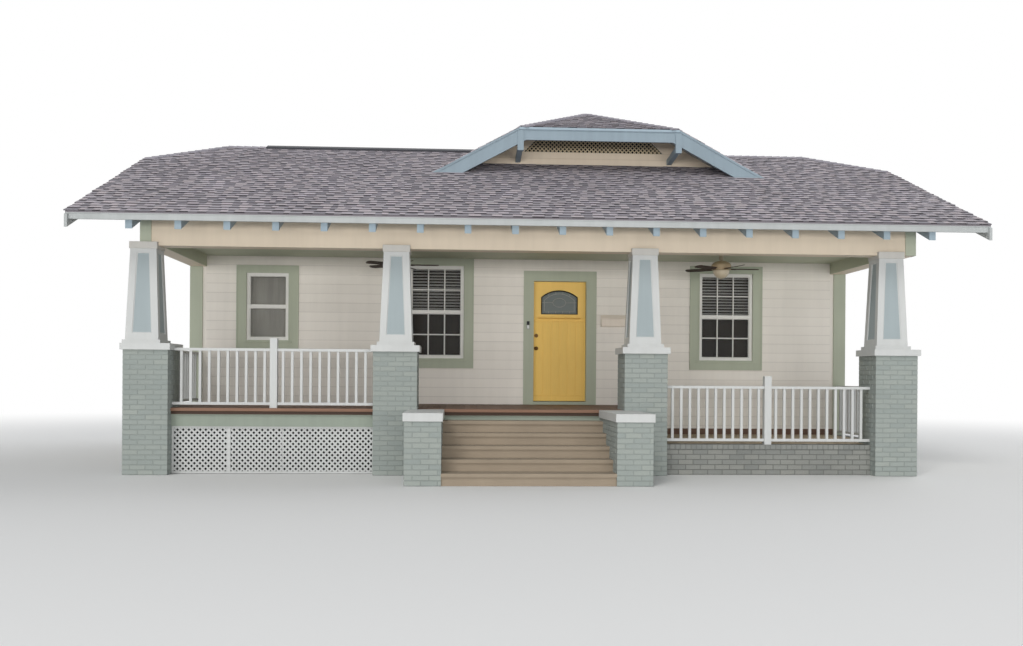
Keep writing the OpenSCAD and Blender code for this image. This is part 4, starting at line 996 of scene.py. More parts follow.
class BUNGALOW_OT_shingles(Maker, bpy.types.Operator):
    """Shingles on both slopes, the clipped ends and the dormer"""
    bl_idname = "bungalow.shingles"
    bl_label = "Shingles"

    def make(self, scene):
        sizes = scene.bungalow_roof
        scale, tent_scale, hip_scale = (math.hypot(1, p) for p in (PITCH, TENT_PITCH, TENT_HIP_PITCH))
        ridge_v, top_x = HALF_RUN * scale, RAKE_X - CLIP_RUN
        kink_v, wall_v = (ridge_v - run * scale for run in (CLIP_RUN, RIDGE_Y - TENT_WALL_Y))
        wall_half = TENT_HALF - NARROWING * (TENT_WALL_Y - TENT_Y)
        outline = balanced((-sizes.overhang, kink_v, ridge_v), 0, (RAKE_X, RAKE_X, top_x))
        hole = balanced((wall_v, ridge_v), TENT_X, (wall_half, VALLEY_HALF))
        for name, sign, y in (("front", 1, ROOF_LOW[1]), ("rear", -1, ROOF_HIGH[1])):
            at = slope(1, sign, [0, y, EAVE_Z], PITCH)
            self.piece(f"roof_shingles_{name}", [shingle(at, outline, [hole], sizes, 11 + sign,
                                                         sizes.ragged)])
        clip = balanced((0, CLIP_RUN * scale), RIDGE_Y, (CLIP_RUN, 0))
        self.piece("clipped_end_shingles", [
            shingle(slope(0, -sign, [sign * RAKE_X, 0, CLIP_Z], PITCH), clip, [], sizes, 21 + sign)
            for sign in (-1, 1)])

        levels = [(TENT_HALF - d) * tent_scale for d in (TENT_HALF, TENT_CLIP, 0)]
        outline = balanced(levels, RIDGE_Y, (TENT_RUN, TENT_RUN, 0))
        hole = balanced((0, (TENT_HALF - VALLEY_HALF) * tent_scale), RIDGE_Y, (TENT_RUN, 0))
        clip = balanced((-sizes.overhang, 0, TENT_RUN * hip_scale), 0, (TENT_CLIP, TENT_CLIP, 0))
        ends = []
        for sign in (-1, 1):
            edge = [TENT_X + sign * TENT_HALF, 0, TENT_LOW[2]]
            ends.append(shingle(slope(0, -sign, edge, TENT_PITCH), outline, [hole], sizes, 31 + sign,
                                sizes.ragged))
        for y, sign in TENT_ENDS:
            ends.append(shingle(slope(1, sign, [TENT_X, y, TENT_CLIP_Z], TENT_HIP_PITCH), clip, [], sizes,
                                41 + sign))
        self.piece("dormer_shingles", ends)

    def piece(self, name, slopes):
        """One piece from several shingled slopes."""
        found, tones, ups = zip(*slopes)
        block_piece(name, found, "shingles", tones=np.concatenate(tones),
                    ups=np.concatenate(ups))


def slope_normal(run, pitch):
    """Upward normal of a slope that rises along run."""
    return (Z - pitch * run) / math.hypot(1, pitch)


class BUNGALOW_OT_ridge_caps(Maker, bpy.types.Operator):
    """Caps over the ridge and the hips of roof and dormer"""
    bl_idname = "bungalow.ridge_caps"
    bl_label = "Ridge caps"

    def make(self, scene):
        sizes = scene.bungalow_roof
        front, rear = slope_normal(Y, PITCH), slope_normal(-Y, PITCH)
        top_x = RAKE_X - CLIP_RUN
        vent_low = corners("ridge_vent")[0]
        ridge = [[x, RIDGE_Y, RIDGE_Z] for x in (-top_x, vent_low[0], TENT_X + VALLEY_HALF, top_x)]
        parts = [caps(ridge[0], ridge[1], front, rear, sizes), caps(ridge[3], ridge[2], front, rear, sizes)]
        for sign in (-1, 1):
            end = slope_normal(-sign * X, PITCH)
            top = [sign * top_x, RIDGE_Y, RIDGE_Z]
            for side, normal in ((-1, front), (1, rear)):
                parts.append(caps([sign * RAKE_X, RIDGE_Y + side * CLIP_RUN, CLIP_Z], top, normal, end, sizes,
                                  RAKE_X + 0.01))
        peak = [TENT_X, RIDGE_Y, TENT_HIGH[2]]
        for side in (-1, 1):
            clip = slope_normal(-side * Y, TENT_HIP_PITCH)
            for sign in (-1, 1):
                foot = [TENT_X + sign * TENT_CLIP, RIDGE_Y + side * TENT_RUN, TENT_CLIP_Z]
                parts.append(caps(foot, peak, clip, slope_normal(-sign * X, TENT_PITCH), sizes))
        block_piece("ridge_caps", parts, "ridge_caps", seed=6)
class BUNGALOW_OT_soffits(Maker, bpy.types.Operator):
    """Boards under the eaves, the gable overhangs and the dormer roof"""
    bl_idname = "bungalow.soffits"
    bl_label = "Soffit boards"

    def make(self, scene):
        width = scene.bungalow_roof.soffit_board
        board, thick = 0.04, 0.006
        parts = []

        def line(axis, sign, edge, pitch, shape):
            """Boards under a roof plane that rises from the given point of its lower edge. The shape's
            levels are measured on plan."""
            origin, along, up, out = slope(axis, sign, edge, pitch)
            runs, left, right = shape
            shape = ([run * math.hypot(1, pitch) for run in runs], left, right)
            parts.append(boards_across((origin, along, up, -out), shape, width, thick))

        to_kink = HALF_RUN - CLIP_RUN
        for sign, y, reach in ((1, ROOF_LOW[1], BEAM_LOW[1] - ROOF_LOW[1]),
                               (-1, ROOF_HIGH[1], ROOF_HIGH[1] - BACK_Y)):
            for run, left, right in ((reach, WALL_X, -WALL_X), (to_kink, board - RAKE_X, WALL_X),
                                     (to_kink, -WALL_X, RAKE_X - board)):
                line(1, sign, [0, y, EAVE_Z - SLAB], PITCH, oblong(board, run, left, right))
        over = RAKE_X + WALL_X
        for sign in (-1, 1):
            line(0, -sign, [sign * RAKE_X, 0, CLIP_Z - SLAB], PITCH,
                 balanced((board, over), RIDGE_Y, (CLIP_RUN - board, CLIP_RUN - over)))
        recess = TENT_WALL_Y - TENT_Y
        clip_at_wall = TENT_CLIP * (1 - recess / TENT_RUN)
        outer = TENT_HALF - SLAB / TENT_PITCH
        levels = [outer - half for half in (outer, outer - NARROWING * recess, TENT_CLIP, clip_at_wall)]
        for front_y, run in TENT_ENDS:
            line(1, run, [TENT_X, front_y, TENT_CLIP_Z - SLAB], TENT_HIP_PITCH,
                 balanced((board, recess), 0, (TENT_CLIP * (1 - board / TENT_RUN), clip_at_wall)))
            near = [front_y + run * board] * 3 + [front_y + run * recess * 0.98]
            far = [front_y + run * (board + 0.005)] + [front_y + run * recess] * 3
            left, right = (near, far) if run > 0 else (far, near)
            for sign in (-1, 1):
                edge = [TENT_X + sign * outer, 0, TENT_HIGH[2] - SLAB - TENT_PITCH * outer]
                line(0, -sign, edge, TENT_PITCH, (levels, left, right))
        block_piece("soffit_boards", parts, "pale", seed=7)

        eaves, level, sloping = [], [], []
        for y, out in ((ROOF_LOW[1], -Y), (ROOF_HIGH[1], Y)):
            eaves.append(plates(facing(out, y), -RAKE_X, RAKE_X, EAVE_Z - SLAB - 0.004, EAVE_Z - 0.028,
                                TRIM_BED, 0.006, 0.002))
        for y, inward in TENT_ENDS:
            at = plane([TENT_X, y, 0], X, Z, -inward * Y)
            level.append(plates(at, -TENT_CLIP - 0.02, TENT_CLIP + 0.02, TENT_CLIP_Z - SLAB - 0.012,
                                TENT_CLIP_Z - 0.010, TRIM_BED, 0.020, 0.002))
            quads = [[(s * outer, TENT_LOW[2]), (s * TENT_CLIP, TENT_CLIP_Z - SLAB),
                      (s * TENT_HALF, TENT_LOW[2]), (s * TENT_CLIP, TENT_CLIP_Z - 0.008)] for s in (-1, 1)]
            sloping.append(blocks(at, quads, quads, TRIM_BED, 0.012))
        block_piece("eave_edges", eaves, "pale", seed=38)
        block_piece("dormer_edge_level", level, "pale_edge", seed=31)
        block_piece("dormer_edge_slopes", sloping, "blue", seed=32)


class BUNGALOW_OT_bricks(Maker, bpy.types.Operator):
    """Bricks of the piers, the cheek walls, the foundation and the base of the lower bay"""
    bl_idname = "bungalow.bricks"
    bl_label = "Bricks"

    def make(self, scene):
        sizes = scene.bungalow_walls
        for name, node, sides, seed in (("pier_bricks", "piers", "fblr", 8),
                                        ("cheek_wall_bricks", "cheek_walls", "flr", 9)):
            block_piece(name, [brick_box(low, high, sizes, sides) for low, high in solids(node)],
                        "brick", seed=seed)
        block_piece("foundation_bricks", [brick_box(*corners("foundation"), sizes, "blr")], "brick",
                    seed=10)
        low, high = corners("lower_porch_base")
        lip, edge = 0.015, 0.07
        parts = [brick_box(low * [1, 1, 0] + [0, lip, 0], high - [lip, 0, edge], sizes, "fr")]
        gap = sizes.joint / 2
        for axis, at in ((0, facing(-Y, low[1])), (1, facing(X, high[0]))):
            start = np.arange(low[axis], high[axis] - 0.02, sizes.course * 1.1)
            end = np.minimum(start + (start[1] - start[0]), high[axis])
            parts.append(plates(at, start + gap, end - gap, high[2] - edge + gap, high[2], LAP_BED, 0.004,
                                0.0025))
        block_piece("base_bricks", parts, "base_brick", seed=12)


class BUNGALOW_OT_lattice(Maker, bpy.types.Operator):
    """Diagonal lattice under the deck and in the dormer vents"""
    bl_idname = "bungalow.lattice"
    bl_label = "Lattice"

    def make(self, scene):
        sizes = scene.bungalow_porch
        parts, backs = [], []
        rim = 0.028
        for low, high in solids("porch_lattice"):
            wide = high - low
            if wide[0] > wide[1]:
                at = facing(-Y, high[1])
                u0, u1 = low[0], high[0]
            else:
                at = facing(-X, high[0])
                u0, u1 = low[1], high[1]
            v0, v1 = 0.004, DECK_LOW[2] - SKIRT_HEIGHT + 0.002
            outline = [(u0, v0), (u1, v0), (u1, v1), (u0, v1)]
            parts.append(lattice(at, outline, sizes.lattice_width, sizes.lattice_pitch, 0.002, 0.007))
            parts.append(surround(at, u0, u1, v0, v1, rim, 0.0, 0.024, 0.024))
            if u1 - u0 > 2.5:
                batten, joint = u0 + (u1 - u0) * 0.28, u0 + (u1 - u0) * 0.543
                parts.append(plates(at, [batten - 0.025, joint - 0.006], [batten + 0.025, joint + 0.006],
                                    v0 + rim, v1 - rim, 0.0, 0.022, 0.002))
            # A near-black sheet behind the lattice: painted shade for the dark space under the deck.
            backs.append(plates(at, u0 + 0.004, u1 - 0.004, v0, v1 - 0.004, -0.028, -0.022, 0.001))
        piece = block_piece("porch_lattice_strips", parts, "white", seed=13)
        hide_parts("porch_lattice")
        block_piece("porch_lattice_painted_shade", backs, "screen", seed=33)

        low, high = corners("dormer_vents")
        tall = high[2] - low[2]
        outline = [(low[0], low[2]), (high[0], low[2]), (high[0] - tall, high[2]), (low[0] + tall, high[2])]
        strips, vent_shade_sheets = [], []
        quad = [[outline[0], outline[1], outline[3], outline[2]]]
        for y, out in ((low[1], -Y), (high[1], Y)):
            at = facing(out, y)
            strips.append(lattice(at, outline, sizes.vent_width, sizes.vent_pitch, 0.0, 0.007))
            # A near-black sheet behind the vent lattice: painted shade for the dark space behind it.
            vent_shade_sheets.append(blocks(at, quad, quad, -0.02, -0.006))
        piece = block_piece("vent_lattice", strips, "vent_lattice", seed=14)
        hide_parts("dormer_vents")
        block_piece("vent_painted_shade", vent_shade_sheets, "screen", seed=15)


class BUNGALOW_OT_boards(Maker, bpy.types.Operator):
    """Deck boards, step boards and ceiling boards"""
    bl_idname = "bungalow.boards"
    bl_label = "Deck, steps and ceiling"

    def make(self, scene):
        sizes = scene.bungalow_porch

        def strips(name, finish, slot, seed, boxes, pitch, gap, thick, out, along_x=False):
            """One piece from boards over boxes whose heights are those of the boards' undersides."""
            parts = []
            for low, high, level in boxes:
                a, b = (1, 0) if along_x else (0, 1)
                edges = np.linspace(low[a], high[a], int(round((high[a] - low[a]) / pitch)) + 1)
                at = plane([0, 0, level], *((Y, X) if along_x else (X, Y)), out)
                parts.append(plates(at, edges[:-1] + gap / 2, edges[1:] - gap / 2, low[b], high[b], BED,
                                    thick, 0.0015))
            block_piece(name, parts, finish, seed=seed)

        level, foot = DECK_HIGH[2], corners("lower_porch_floor")[1][2]
        strips("deck_boards", "deck", "deck_wood", 16, [(DECK_LOW - [0, 0.004, 0], DECK_HIGH, level)],
               sizes.deck_board, sizes.board_gap, 0.004, Z)
        strips("low_floor_boards", "low_deck", "deck_wood", 41, [(*corners("lower_porch_floor"), foot)],
               sizes.deck_board, sizes.board_gap, 0.003, Z)
        low, high = corners("front_steps")
        count, nose = 5, 0.025
        run, rise = (high[1] - nose - low[1]) / count, high[2] / count
        treads = []
        for i in range(count):
            y0 = low[1] + i * run
            treads.append(([low[0], y0 - 0.003], [high[0], y0 + run + nose], (i + 1) * rise))
        strips("step_boards", "steps", "step_paint", 17, treads, (run + nose) / 2, 0.005, 0.004, Z, True)
        strips("ceiling_boards", "ceiling", "sage_trim", 18, [(CEILING_LOW, CEILING_HIGH, CEILING_LOW[2])],
               sizes.ceiling_board, 0.003, 0.006, -Z, True)

        # The nosing carries painted sunlight on the deck's front and open side.
        ends = (DECK_LOW[0], DECK_HIGH[0])
        lips = [plates(facing(-Y, DECK_LOW[1]), *ends, level - 0.042, level + 0.003, TRIM_BED, 0.014, 0.004),
                plates(facing(-X, DECK_LOW[0]), DECK_LOW[1], WALL_Y, level - 0.042, level + 0.003,
                       TRIM_BED, 0.010, 0.004)]
        block_piece("deck_nosing", lips, "deck_painted_sunlight", seed=34)
        # A painted shadow strip on the deck's front below the nosing.
        shadows = [plates(facing(-Y, DECK_LOW[1]), *ends, DECK_LOW[2] + 0.002, level - 0.044, TRIM_BED, 0.003,
                          0.002)]
        block_piece("deck_painted_shadow_strip", shadows, "deck_shadow_paint", seed=35)
        base = [plates(facing(-Y, WALL_Y), DECK_HIGH[0], -WALL_X, foot, foot + 0.10, TRIM_BED, 0.020, 0.003)]
        block_piece("low_floor_skirting", base, "deck", seed=36)
        linings = [plates(facing(out, x), BEAM_HIGH[1], WALL_Y, BEAM_LOW[2], CEILING_LOW[2], BED, 0.006,
                          0.002) for x, out in ((CEILING_LOW[0], X), (CEILING_HIGH[0], -X))]
        block_piece("beam_linings", linings, "ceiling", seed=37)


class BUNGALOW_OT_column_panels(Maker, bpy.types.Operator):
    """Painted panels with a small bead in the recesses of the columns"""
    bl_idname = "bungalow.column_panels"
    bl_label = "Column panels"

    foot_width: length("Foot width", "Width of a column at its foot", 0.456)
    head_width: length("Head width", "Width of a column at its head", 0.356)
    edge: length("Edge", "Width of the boards beside and below a panel", 0.092)
    top_edge: length("Top edge", "Height of the board above a panel", 0.056)
    plinth: length("Plinth", "Height of the plinth", 0.05)
    capital: length("Capital", "Height of the capital with its lap over the beam", 0.09)
    recess: length("Recess", "Depth of a panel", 0.014)

    def make(self, scene):
        panels, beads, capitals = [], [], []
        bed, slack = -self.recess - 0.001, 0.0005
        lean = (self.foot_width - self.head_width) / 2
        half = self.head_width / 2 + 0.008
        for number in range(1, 5):
            low, high = corners(f"column_{number}")
            centre = (low + high) / 2
            foot = low[2] + self.plinth
            tall = high[2] - self.capital - foot
            face = math.hypot(tall, lean)
            for turn in range(4):
                out = np.array([math.sin(turn * math.pi / 2), -math.cos(turn * math.pi / 2), 0])
                along = np.cross(Z, out) * -1
                if turn != 2:
                    at = plane(centre * [1, 1, 0] + out * half, along, Z, out)
                    capitals.append(plates(at, -half - 0.004, half + 0.004, high[2] - self.capital - 0.004,
                                           high[2] + 0.004, BED, 0.006, 0.003))
                at = plane([*(centre[:2] + out[:2] * self.foot_width / 2), foot], along,
                           (Z * tall - out * lean) / face, (out * tall + Z * lean) / face)
                wide_foot = self.foot_width / 2 - self.edge - slack
                wide_head = self.head_width / 2 - self.edge - slack
                v0, v1 = self.edge + slack, face - self.top_edge - slack
                big = np.array([(-wide_foot, v0), (wide_foot, v0), (wide_head, v1), (-wide_head, v1)])
                quad = big[None, [0, 1, 3, 2]]
                panels.append(blocks(at, quad, quad, bed, -self.recess + 0.002))
                quads = mitred(big, big + np.array([(1, 1), (-1, 1), (-1, -1), (1, -1)]) * 0.012)
                beads.append(blocks(at, quads, quads, bed,
                                    np.array([-0.003, -0.003, -self.recess + 0.003, -self.recess + 0.003])))
        block_piece("column_panels", panels, "panel", seed=19)
        block_piece("column_beads", beads, "white", seed=20)
        block_piece("column_capitals", capitals, "capital", seed=39)


def window_plane(low, high):
    """The outer face of the wall around a window as a surface, and the window's range along it."""
    axis = int(high[0] - low[0] > high[1] - low[1])
    sign = -1 if (low[axis] + high[axis]) / 2 < (0, RIDGE_Y)[axis] else 1
    face = (low if sign < 0 else high)[axis] + sign * 0.012
    return facing(sign * (X, Y)[axis], face), low[1 - axis], high[1 - axis]


class BUNGALOW_OT_windows(Maker, bpy.types.Operator):
    """Glazing bars, sash beads, casing bands, blinds, dark backings painted as the shade of the rooms, and
    the fabric shade of the small window
    """
    bl_idname = "bungalow.windows"
    bl_label = "Windows"

    def make(self, scene):
        sizes = scene.bungalow_openings
        rail, half_bar, pane = 0.048, sizes.bar / 2, -0.045
        lights = sizes.lights_across
        tilt = math.radians(24)
        half_v, half_n = sizes.slat_width / 2 * math.sin(tilt), sizes.slat_width / 2 * math.cos(tilt)
        bars, bands, slats, dark_backings, shades = [], [], [], [], []
        for low, high in solids("window_frames"):
            at, u0, u1 = window_plane(low, high)
            v0, v1 = low[2], high[2]
            pane_h = (v1 - v0 - 3 * rail) / 2
            a0, a1 = u0 + rail, u1 - rail
            tall = v1 - v0 > 1.3
            for foot in (v0 + rail, v0 + 2 * rail + pane_h):
                bars.append(surround(at, a0, a1, foot, foot + pane_h, 0.012, pane, -0.040, -0.022))
                if tall:
                    x, z = a0 + (a1 - a0) * np.arange(1, lights) / lights, foot + pane_h / 2
                    bars.append(plates(at, x - half_bar, x + half_bar, foot, foot + pane_h, pane, -0.026,
                                       0.006))
                    bars.append(plates(at, a0, a1, z - half_bar, z + half_bar, pane, -0.0265, 0.006))
            upper = v0 + 1.5 * rail + pane_h
            bars.append(surround(at, u0 + 0.004, u1 - 0.004, upper, v1 - 0.004, 0.034, -0.013, -0.006,
                                 -0.004))
            for wide, above, width, inner, outer in ((0.165, 0.125, 0.022, 0.033, 0.035),
                                                     (0.020, 0.020, 0.020, 0.030, 0.033)):
                bands.append(surround(at, u0 - wide, u1 + wide, v0 - wide, v1 + above, width, 0.02, inner,
                                      outer))
            bands.append(plates(at, u0 - 0.06, u1 + 0.06, v0 - 0.045, v0 - 0.018, TRIM_BED, 0.048, 0.004))
            behind = plates(at, u0 - 0.02, u1 + 0.02, v0 - 0.02, v1 + 0.02, -WALL_T - 0.006, -WALL_T, 0.001)
            if not tall:
                shades.append(behind)
                continue
            # Behind a tall window a dark backing: painted shade for the room.
            dark_backings.append(behind)
            z = np.arange(upper + 0.01, v1 - rail, sizes.slat_pitch)
            quads = rectangles(a0 - 0.01, a1 + 0.01, z - half_v, z + half_v)
            under, over = (np.array([level - half_n] * 2 + [level + half_n] * 2)
                           for level in (-0.102, -0.099))
            slats.append(blocks(at, quads, quads, under, over))
            slats.append(plates(at, a0 - 0.01, a1 + 0.01, upper - 0.03, upper - 0.008, -0.115, -0.09, 0.003))
        for name, parts, finish, slot, seed in (
                ("bars", bars, "sash", "white_trim", 21), ("bands", bands, "sage", "sage_trim", 22),
                ("blinds", slats, "blind", "white_trim", 23), ("shades", shades, "shade", "white_trim", 42),
                ("dark_room_backings", dark_backings, "dark_room_shade", "black_plastic", 24)):
            block_piece(f"window_{name}", parts, finish, seed=seed)


class BUNGALOW_OT_door(Maker, bpy.types.Operator):
    """Planks, stiles, ledge and leaded light of the front door"""
    bl_idname = "bungalow.door"
    bl_label = "Front door"

    def make(self, scene):
        sizes = scene.bungalow_openings
        low, high = corners("front_door")
        light_low, light_high = corners("door_light")
        ledge_z, foot_rail, half_gap = light_low[2] - 0.075, 0.09, 0.0015
        boards, planks = [], []
        for face, out in ((low[1], -Y), (high[1], Y)):
            at = facing(out, face)
            x0, x1 = low[0] + 0.001, high[0] - 0.001
            a0, a1 = x0 + sizes.stile, x1 - sizes.stile
            z0, z1 = low[2] + foot_rail, ledge_z - 0.05
            edges = np.linspace(a0, a1, sizes.planks + 1)
            planks.append(plates(at, edges[:-1] + half_gap, edges[1:] - half_gap, z0, z1, BED, 0.0045,
                                 0.006))
            boards.append(plates(at, [x0, a1], [a0, x1], z0, z1, BED, 0.005, 0.003))
            boards.append(plates(at, [x0, x0], [x1, x1], [low[2] + 0.001, z1], [z0, ledge_z], BED, 0.005,
                                 0.003))
        middle = (light_low[0] + light_high[0]) / 2
        for half, foot, head, proud, soften in ((0.365, ledge_z, ledge_z + 0.022, 0.034, 0.004),
                                                (0.35, ledge_z - 0.02, ledge_z, 0.022, 0.006)):
            boards.append(plates(facing(-Y, low[1]), middle - half, middle + half, foot, head, 0.0, proud,
                                 soften))
        block_piece("door_planks", planks, "door_timber", "door", seed=25)
        block_piece("door_boards", boards, "door_timber", "door", seed=26)

        half, rise = (light_high[0] - light_low[0]) / 2, 0.11
        radius = (half * half + rise * rise) / (2 * rise)
        spread = math.asin(half / radius)
        angle = np.linspace(-spread, spread, 25)
        arch = np.stack([middle + radius * np.sin(angle),
                         light_high[2] - radius + radius * np.cos(angle)], 1)
        path = np.concatenate([[[light_low[0], light_low[2]]], arch, [[light_high[0], light_low[2]]]])
        centre = np.array([middle, (light_low[2] + light_high[2] - rise) / 2])
        ring = []
        outward = unit_away(path, centre)
        quads = ribbon(path + outward * 0.014, path - outward * 0.006)
        for face, out in ((low[1], -Y), (high[1], Y)):
            at = facing(out, face)
            ring.append(blocks(at, quads, quads, -0.012, np.array([0.006, 0.006, 0.012, 0.012])))
            ring.append(plates(at, light_low[0] - 0.012, light_high[0] + 0.012, light_low[2] - 0.012,
                               light_low[2] + 0.006, -0.012, 0.010, 0.003))
        block_piece("door_light_rim", ring, "dark_metal", "door", seed=27)
        came, margin, oval_half, oval_z = 0.004, 0.045, 0.11, light_low[2] + 0.19
        inset = np.stack([middle + (path[:, 0] - middle) * (1 - margin / half), path[:, 1] - margin], 1)
        inset[[0, -1], 1] = light_low[2] + margin
        turn = np.linspace(0, 2 * math.pi, 25)
        oval = np.stack([middle + oval_half * np.cos(turn), oval_z + 0.075 * np.sin(turn)], 1)
        parts = []
        for y, out in ((light_low[1], -Y), (light_high[1], Y)):
            at = facing(out, y)
            for line, core in ((np.concatenate([inset, inset[:1]]), centre), (oval, oval.mean(axis=0))):
                away = unit_away(line, core) * came
                quads = ribbon(line - away, line + away)
                parts.append(blocks(at, quads, quads, BED, 0.003))
            x = np.linspace(light_low[0], light_high[0], 6)[1:-1]
            top = light_high[2] - radius + np.sqrt(radius ** 2 - (x - middle) ** 2)
            for foot, head in ((light_low[2], light_low[2] + margin), (top - margin, top)):
                parts.append(plates(at, x - came, x + came, foot, head, BED, 0.003, 0.001))
            parts.append(plates(at, [light_low[0], middle + oval_half], [middle - oval_half, light_high[0]],
                                oval_z - came, oval_z + came, BED, 0.0025, 0.001))
        block_piece("door_light_cames", parts, "came", "door", seed=28)


class BUNGALOW_OT_fittings(Maker, bpy.types.Operator):
    """Glass bowls of the fans, lid and lip of the mailbox, button of the doorbell"""
    bl_idname = "bungalow.fittings"
    bl_label = "Fan bowls, mailbox and doorbell"

    bowl_radius: length("Bowl radius", "Radius of a glass bowl", 0.125)
    bowl_height: length("Bowl height", "Height of a glass bowl", 0.125)

    def make(self, scene):
        rotor_z = corners("fan_rotor_left")[0][2]
        *axes, depth = fan_axes()

        def both(name, profile, foot, smooth):
            """One piece on the house from the same turned body at each fan."""
            made = [turned(profile, (x, depth, foot)) for x in axes]
            points = np.concatenate([points for points, _ in made])
            faces = [quads + number * len(made[0][0]) for number, (_, quads) in enumerate(made)]
            dress(mesh_of(name, points, np.concatenate(faces), smooth), "bowl")

        radius, tall = self.bowl_radius + 0.0015, self.bowl_height - 0.01
        ball = (radius ** 2 + tall ** 2) / (2 * tall)
        turn = np.linspace(0, math.acos(max(-1, (ball - tall) / ball)), 20)
        curve = np.stack([ball * np.sin(turn), ball - ball * np.cos(turn) - 0.0015], 1)
        rim = [[radius + 0.003, tall], [radius + 0.003, tall + 0.009], [radius - 0.012, tall + 0.0095],
               [0, tall + 0.0095]]
        both("fan_bowls", np.concatenate([curve, rim]), rotor_z - 0.006 - self.bowl_height, True)
        turn = np.linspace(0, math.pi / 2, 14)
        dome = np.stack([FAN_RADIUS * np.cos(turn), 0.064 + 0.086 * np.sin(turn)], 1)
        for side, x in zip(("left", "right"), axes):
            piece = mesh_of(f"fan_{side}_dome", *turned([[0, 0.062], *dome], (x, depth, rotor_z)), True)
            dress(piece, "fan_metal", f"fan_{side}")
        both("fan_rod_covers", [[0, 0], [0.034, 0], [0.034, 0.07], [0.075, 0.08], [0.08, 0.125], [0, 0.125]],
             rotor_z + 0.158, False)

        low, high = corners("mailbox")
        at = facing(-Y, low[1])
        slant_foot, slant_top = 0.7 * (high[2] - low[2]), 0.45 * (high[1] - low[1])
        lid = plane([0, low[1], low[2] + slant_foot], X, (0, slant_top, high[2] - low[2] - slant_foot), -Y)
        parts = [plates(at, low[0] - 0.006, high[0] + 0.006, low[2] + slant_foot - 0.03,
                        low[2] + slant_foot, -0.02, 0.006, 0.002),
                 plates(at, low[0] + 0.004, high[0] - 0.004, low[2] + 0.006, low[2] + 0.022, 0.0, 0.005,
                        0.002),
                 plates(lid, low[0] - 0.006, high[0] + 0.006, 0, 1, 0.0, 0.006)]
        block_piece("mailbox_lid", parts, "mailbox", seed=29)

        low, high = corners("doorbell")
        parts = [plates(facing(-Y, low[1]), low[0] + 0.002, high[0] - 0.002, low[2] + 0.002,
                        low[2] + (high[2] - low[2]) * 0.5, BED, 0.003, 0.002)]
        block_piece("doorbell_cover", parts, "bell_cover", seed=30)
# The camera that was fitted to the photo: metres, degrees and millimetres.
CAMERA_PLACE = (-1.1084, -17.690, 1.3712)
CAMERA_TURN, CAMERA_ROLL = -3.105, 0.401
CAMERA_LENS, CAMERA_SHIFT = 35.385, 0.0536


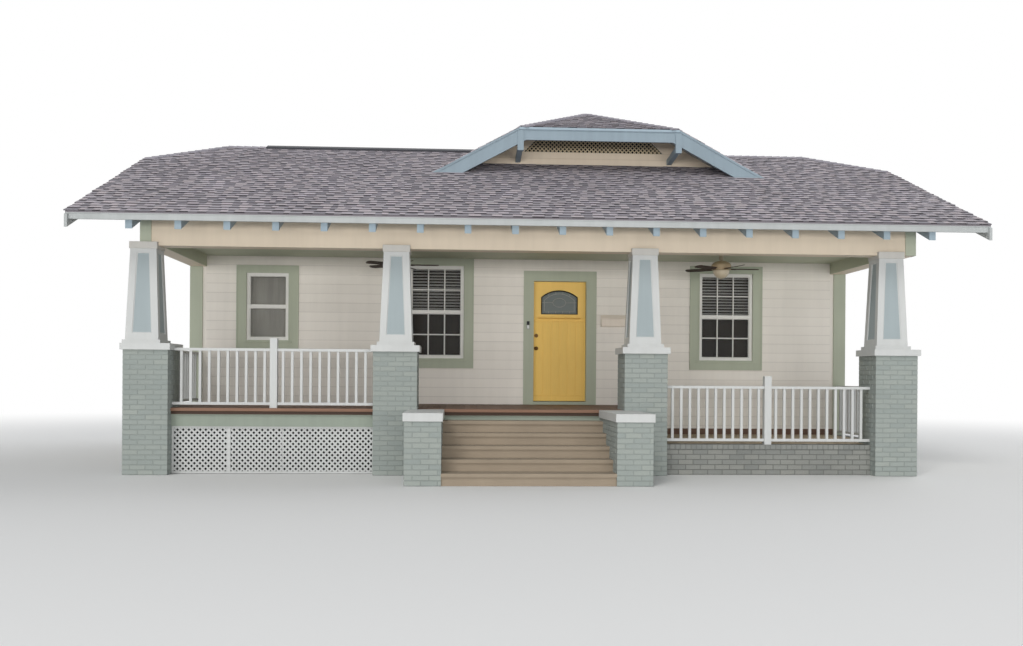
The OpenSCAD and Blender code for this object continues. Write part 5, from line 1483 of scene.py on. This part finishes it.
class BUNGALOW_OT_stage(Maker, bpy.types.Operator):
    """Pale floor, soft light and the camera"""
    bl_idname = "bungalow.stage"
    bl_label = "Stage"

    sunk: length("Sunk", "Depth of the floor below the foot of the house", 0.002)

    def make(self, scene):
        sizes = scene.bungalow_stage
        rings = [[0, 0], [12, 0], [30, 0], [sizes.floor_radius, 0]]
        floor = mesh_of("stage_floor", *turned(rings, (0, 0, -self.sunk), 96))
        floor.data.materials.append(self.floor_finish())

        world = scene.world = bpy.data.worlds.new("studio")
        world.use_nodes = True
        tree = world.node_tree
        tree.nodes.clear()
        sky = add(tree, "ShaderNodeBackground", {"Color": (0.93, 0.96, 1.0, 1), "Strength": sizes.sky})
        white = add(tree, "ShaderNodeBackground", {"Color": (1, 1, 1, 1), "Strength": 1.0})
        mixed = add(tree, "ShaderNodeMixShader",
                    {0: self.seen(tree), 1: sky.outputs[0], 2: white.outputs[0]})
        add(tree, "ShaderNodeOutputWorld", {0: mixed.outputs[0]})

        self.sun("main_lamp", sizes.sun, sizes.sun_angle, (1.0, 0.985, 0.96), 46, -28)
        self.sun("back_fill", sizes.back, math.radians(60), (0.97, 0.98, 1.0), 62, 132)
        panel = bpy.data.lights.new("front_panel", "AREA")
        panel.shape = "RECTANGLE"
        panel.size, panel.size_y = 44.0, 4.4
        panel.energy, panel.color = sizes.fill * math.pi * 40 ** 2, (1.0, 0.98, 0.955)
        holder = self.placed("front_panel", panel)
        holder.location = (-3.0, -41.0, 2.5)
        holder.rotation_euler = (math.pi / 2, 0, 0)
        holder.visible_glossy = False

        camera = bpy.data.cameras.new("camera")
        camera.sensor_width, camera.clip_end = 36, 400
        camera.lens, camera.shift_y = CAMERA_LENS, CAMERA_SHIFT
        holder = scene.camera = self.placed("camera", camera)
        turns = ((CAMERA_TURN, "Z"), (90, "X"), (CAMERA_ROLL, "Z"))
        holder.matrix_world = Matrix.Translation(CAMERA_PLACE)
        for degrees, axis in turns:
            holder.matrix_world = holder.matrix_world @ Matrix.Rotation(math.radians(degrees), 4, axis)
        scene.view_settings.view_transform = "Standard"

    def placed(self, name, data):
        """A new object of the scene for a lamp or a camera."""
        holder = bpy.data.objects.new(name, data)
        bpy.context.scene.collection.objects.link(holder)
        return holder

    def sun(self, name, strength, angle, shade, tilt, turn):
        """A wide sun lamp: its light comes in at tilt degrees from straight down, turned about +Z."""
        light = bpy.data.lights.new(name, "SUN")
        light.energy, light.angle, light.color = strength, angle, shade
        self.placed(name, light).rotation_euler = (math.radians(tilt), 0, math.radians(turn))

    def seen(self, tree):
        """1 for rays from the camera, a mirror or glass, else 0."""
        path = add(tree, "ShaderNodeLightPath")
        both = maths(tree, "MAXIMUM", path.outputs["Is Camera Ray"], path.outputs["Is Glossy Ray"])
        return maths(tree, "MAXIMUM", both, path.outputs["Is Transmission Ray"])

    def floor_finish(self):
        """A pale floor that turns into the white surroundings with distance from the house."""
        material = bpy.data.materials.new("stage_floor")
        material.use_nodes = True
        tree = material.node_tree
        shader = tree.nodes["Principled BSDF"]
        shader.inputs["Base Color"].default_value = (0.82, 0.82, 0.81, 1)
        shader.inputs["Roughness"].default_value = 0.9
        shader.inputs["Specular IOR Level"].default_value = 0.1
        distance = add(tree, "ShaderNodeVectorMath", {0: object_place(tree)}, operation="LENGTH")
        far = carried(tree, distance.outputs["Value"], 9.0, 26.0, 0.0, 1.0, interpolation_type="SMOOTHSTEP")
        glow = add(tree, "ShaderNodeEmission", {"Color": (1, 1, 1, 1), "Strength": 1.0})
        share = times(tree, far, self.seen(tree))
        mixed = add(tree, "ShaderNodeMixShader", {0: share, 1: shader.outputs[0], 2: glow.outputs[0]})
        tree.links.new(mixed.outputs[0], tree.nodes["Material Output"].inputs[0])
        return material


GROUPS_OF_SIZES = {"bungalow_roof": RoofSizes, "bungalow_walls": WallSizes, "bungalow_porch": PorchSizes,
                   "bungalow_openings": OpeningSizes, "bungalow_paints": Paints, "bungalow_stage": StageSizes}
OPERATORS = (BUNGALOW_OT_finishes, BUNGALOW_OT_siding, BUNGALOW_OT_shingles, BUNGALOW_OT_ridge_caps,
             BUNGALOW_OT_soffits, BUNGALOW_OT_bricks, BUNGALOW_OT_lattice, BUNGALOW_OT_boards,
             BUNGALOW_OT_column_panels, BUNGALOW_OT_windows, BUNGALOW_OT_door, BUNGALOW_OT_fittings,
             BUNGALOW_OT_stage)


class BUNGALOW_PT_panel(bpy.types.Panel):
    """Lists the sizes, the colours and the pieces"""
    bl_label = "Bungalow"
    bl_idname = "BUNGALOW_PT_panel"
    bl_space_type = "VIEW_3D"
    bl_region_type = "UI"
    bl_category = "Bungalow"

    def draw(self, context):
        for kind in OPERATORS:
            self.layout.operator(kind.bl_idname)
        for name, group in GROUPS_OF_SIZES.items():
            box = self.layout.box()
            for key in group.__annotations__:
                box.prop(getattr(context.scene, name), key)


def register():
    for kind in (*GROUPS_OF_SIZES.values(), *OPERATORS, BUNGALOW_PT_panel):
        bpy.utils.register_class(kind)
    for name, kind in GROUPS_OF_SIZES.items():
        setattr(bpy.types.Scene, name, PointerProperty(type=kind))


def unregister():
    for name in GROUPS_OF_SIZES:
        delattr(bpy.types.Scene, name)
    for kind in (BUNGALOW_PT_panel, *reversed(OPERATORS), *reversed(GROUPS_OF_SIZES.values())):
        bpy.utils.unregister_class(kind)


def main():
    """Dresses the frame piece by piece."""
    register()
    for kind in OPERATORS:
        group, name = kind.bl_idname.split(".")
        getattr(getattr(bpy.ops, group), name)()


if __name__ == "__main__":
    main()
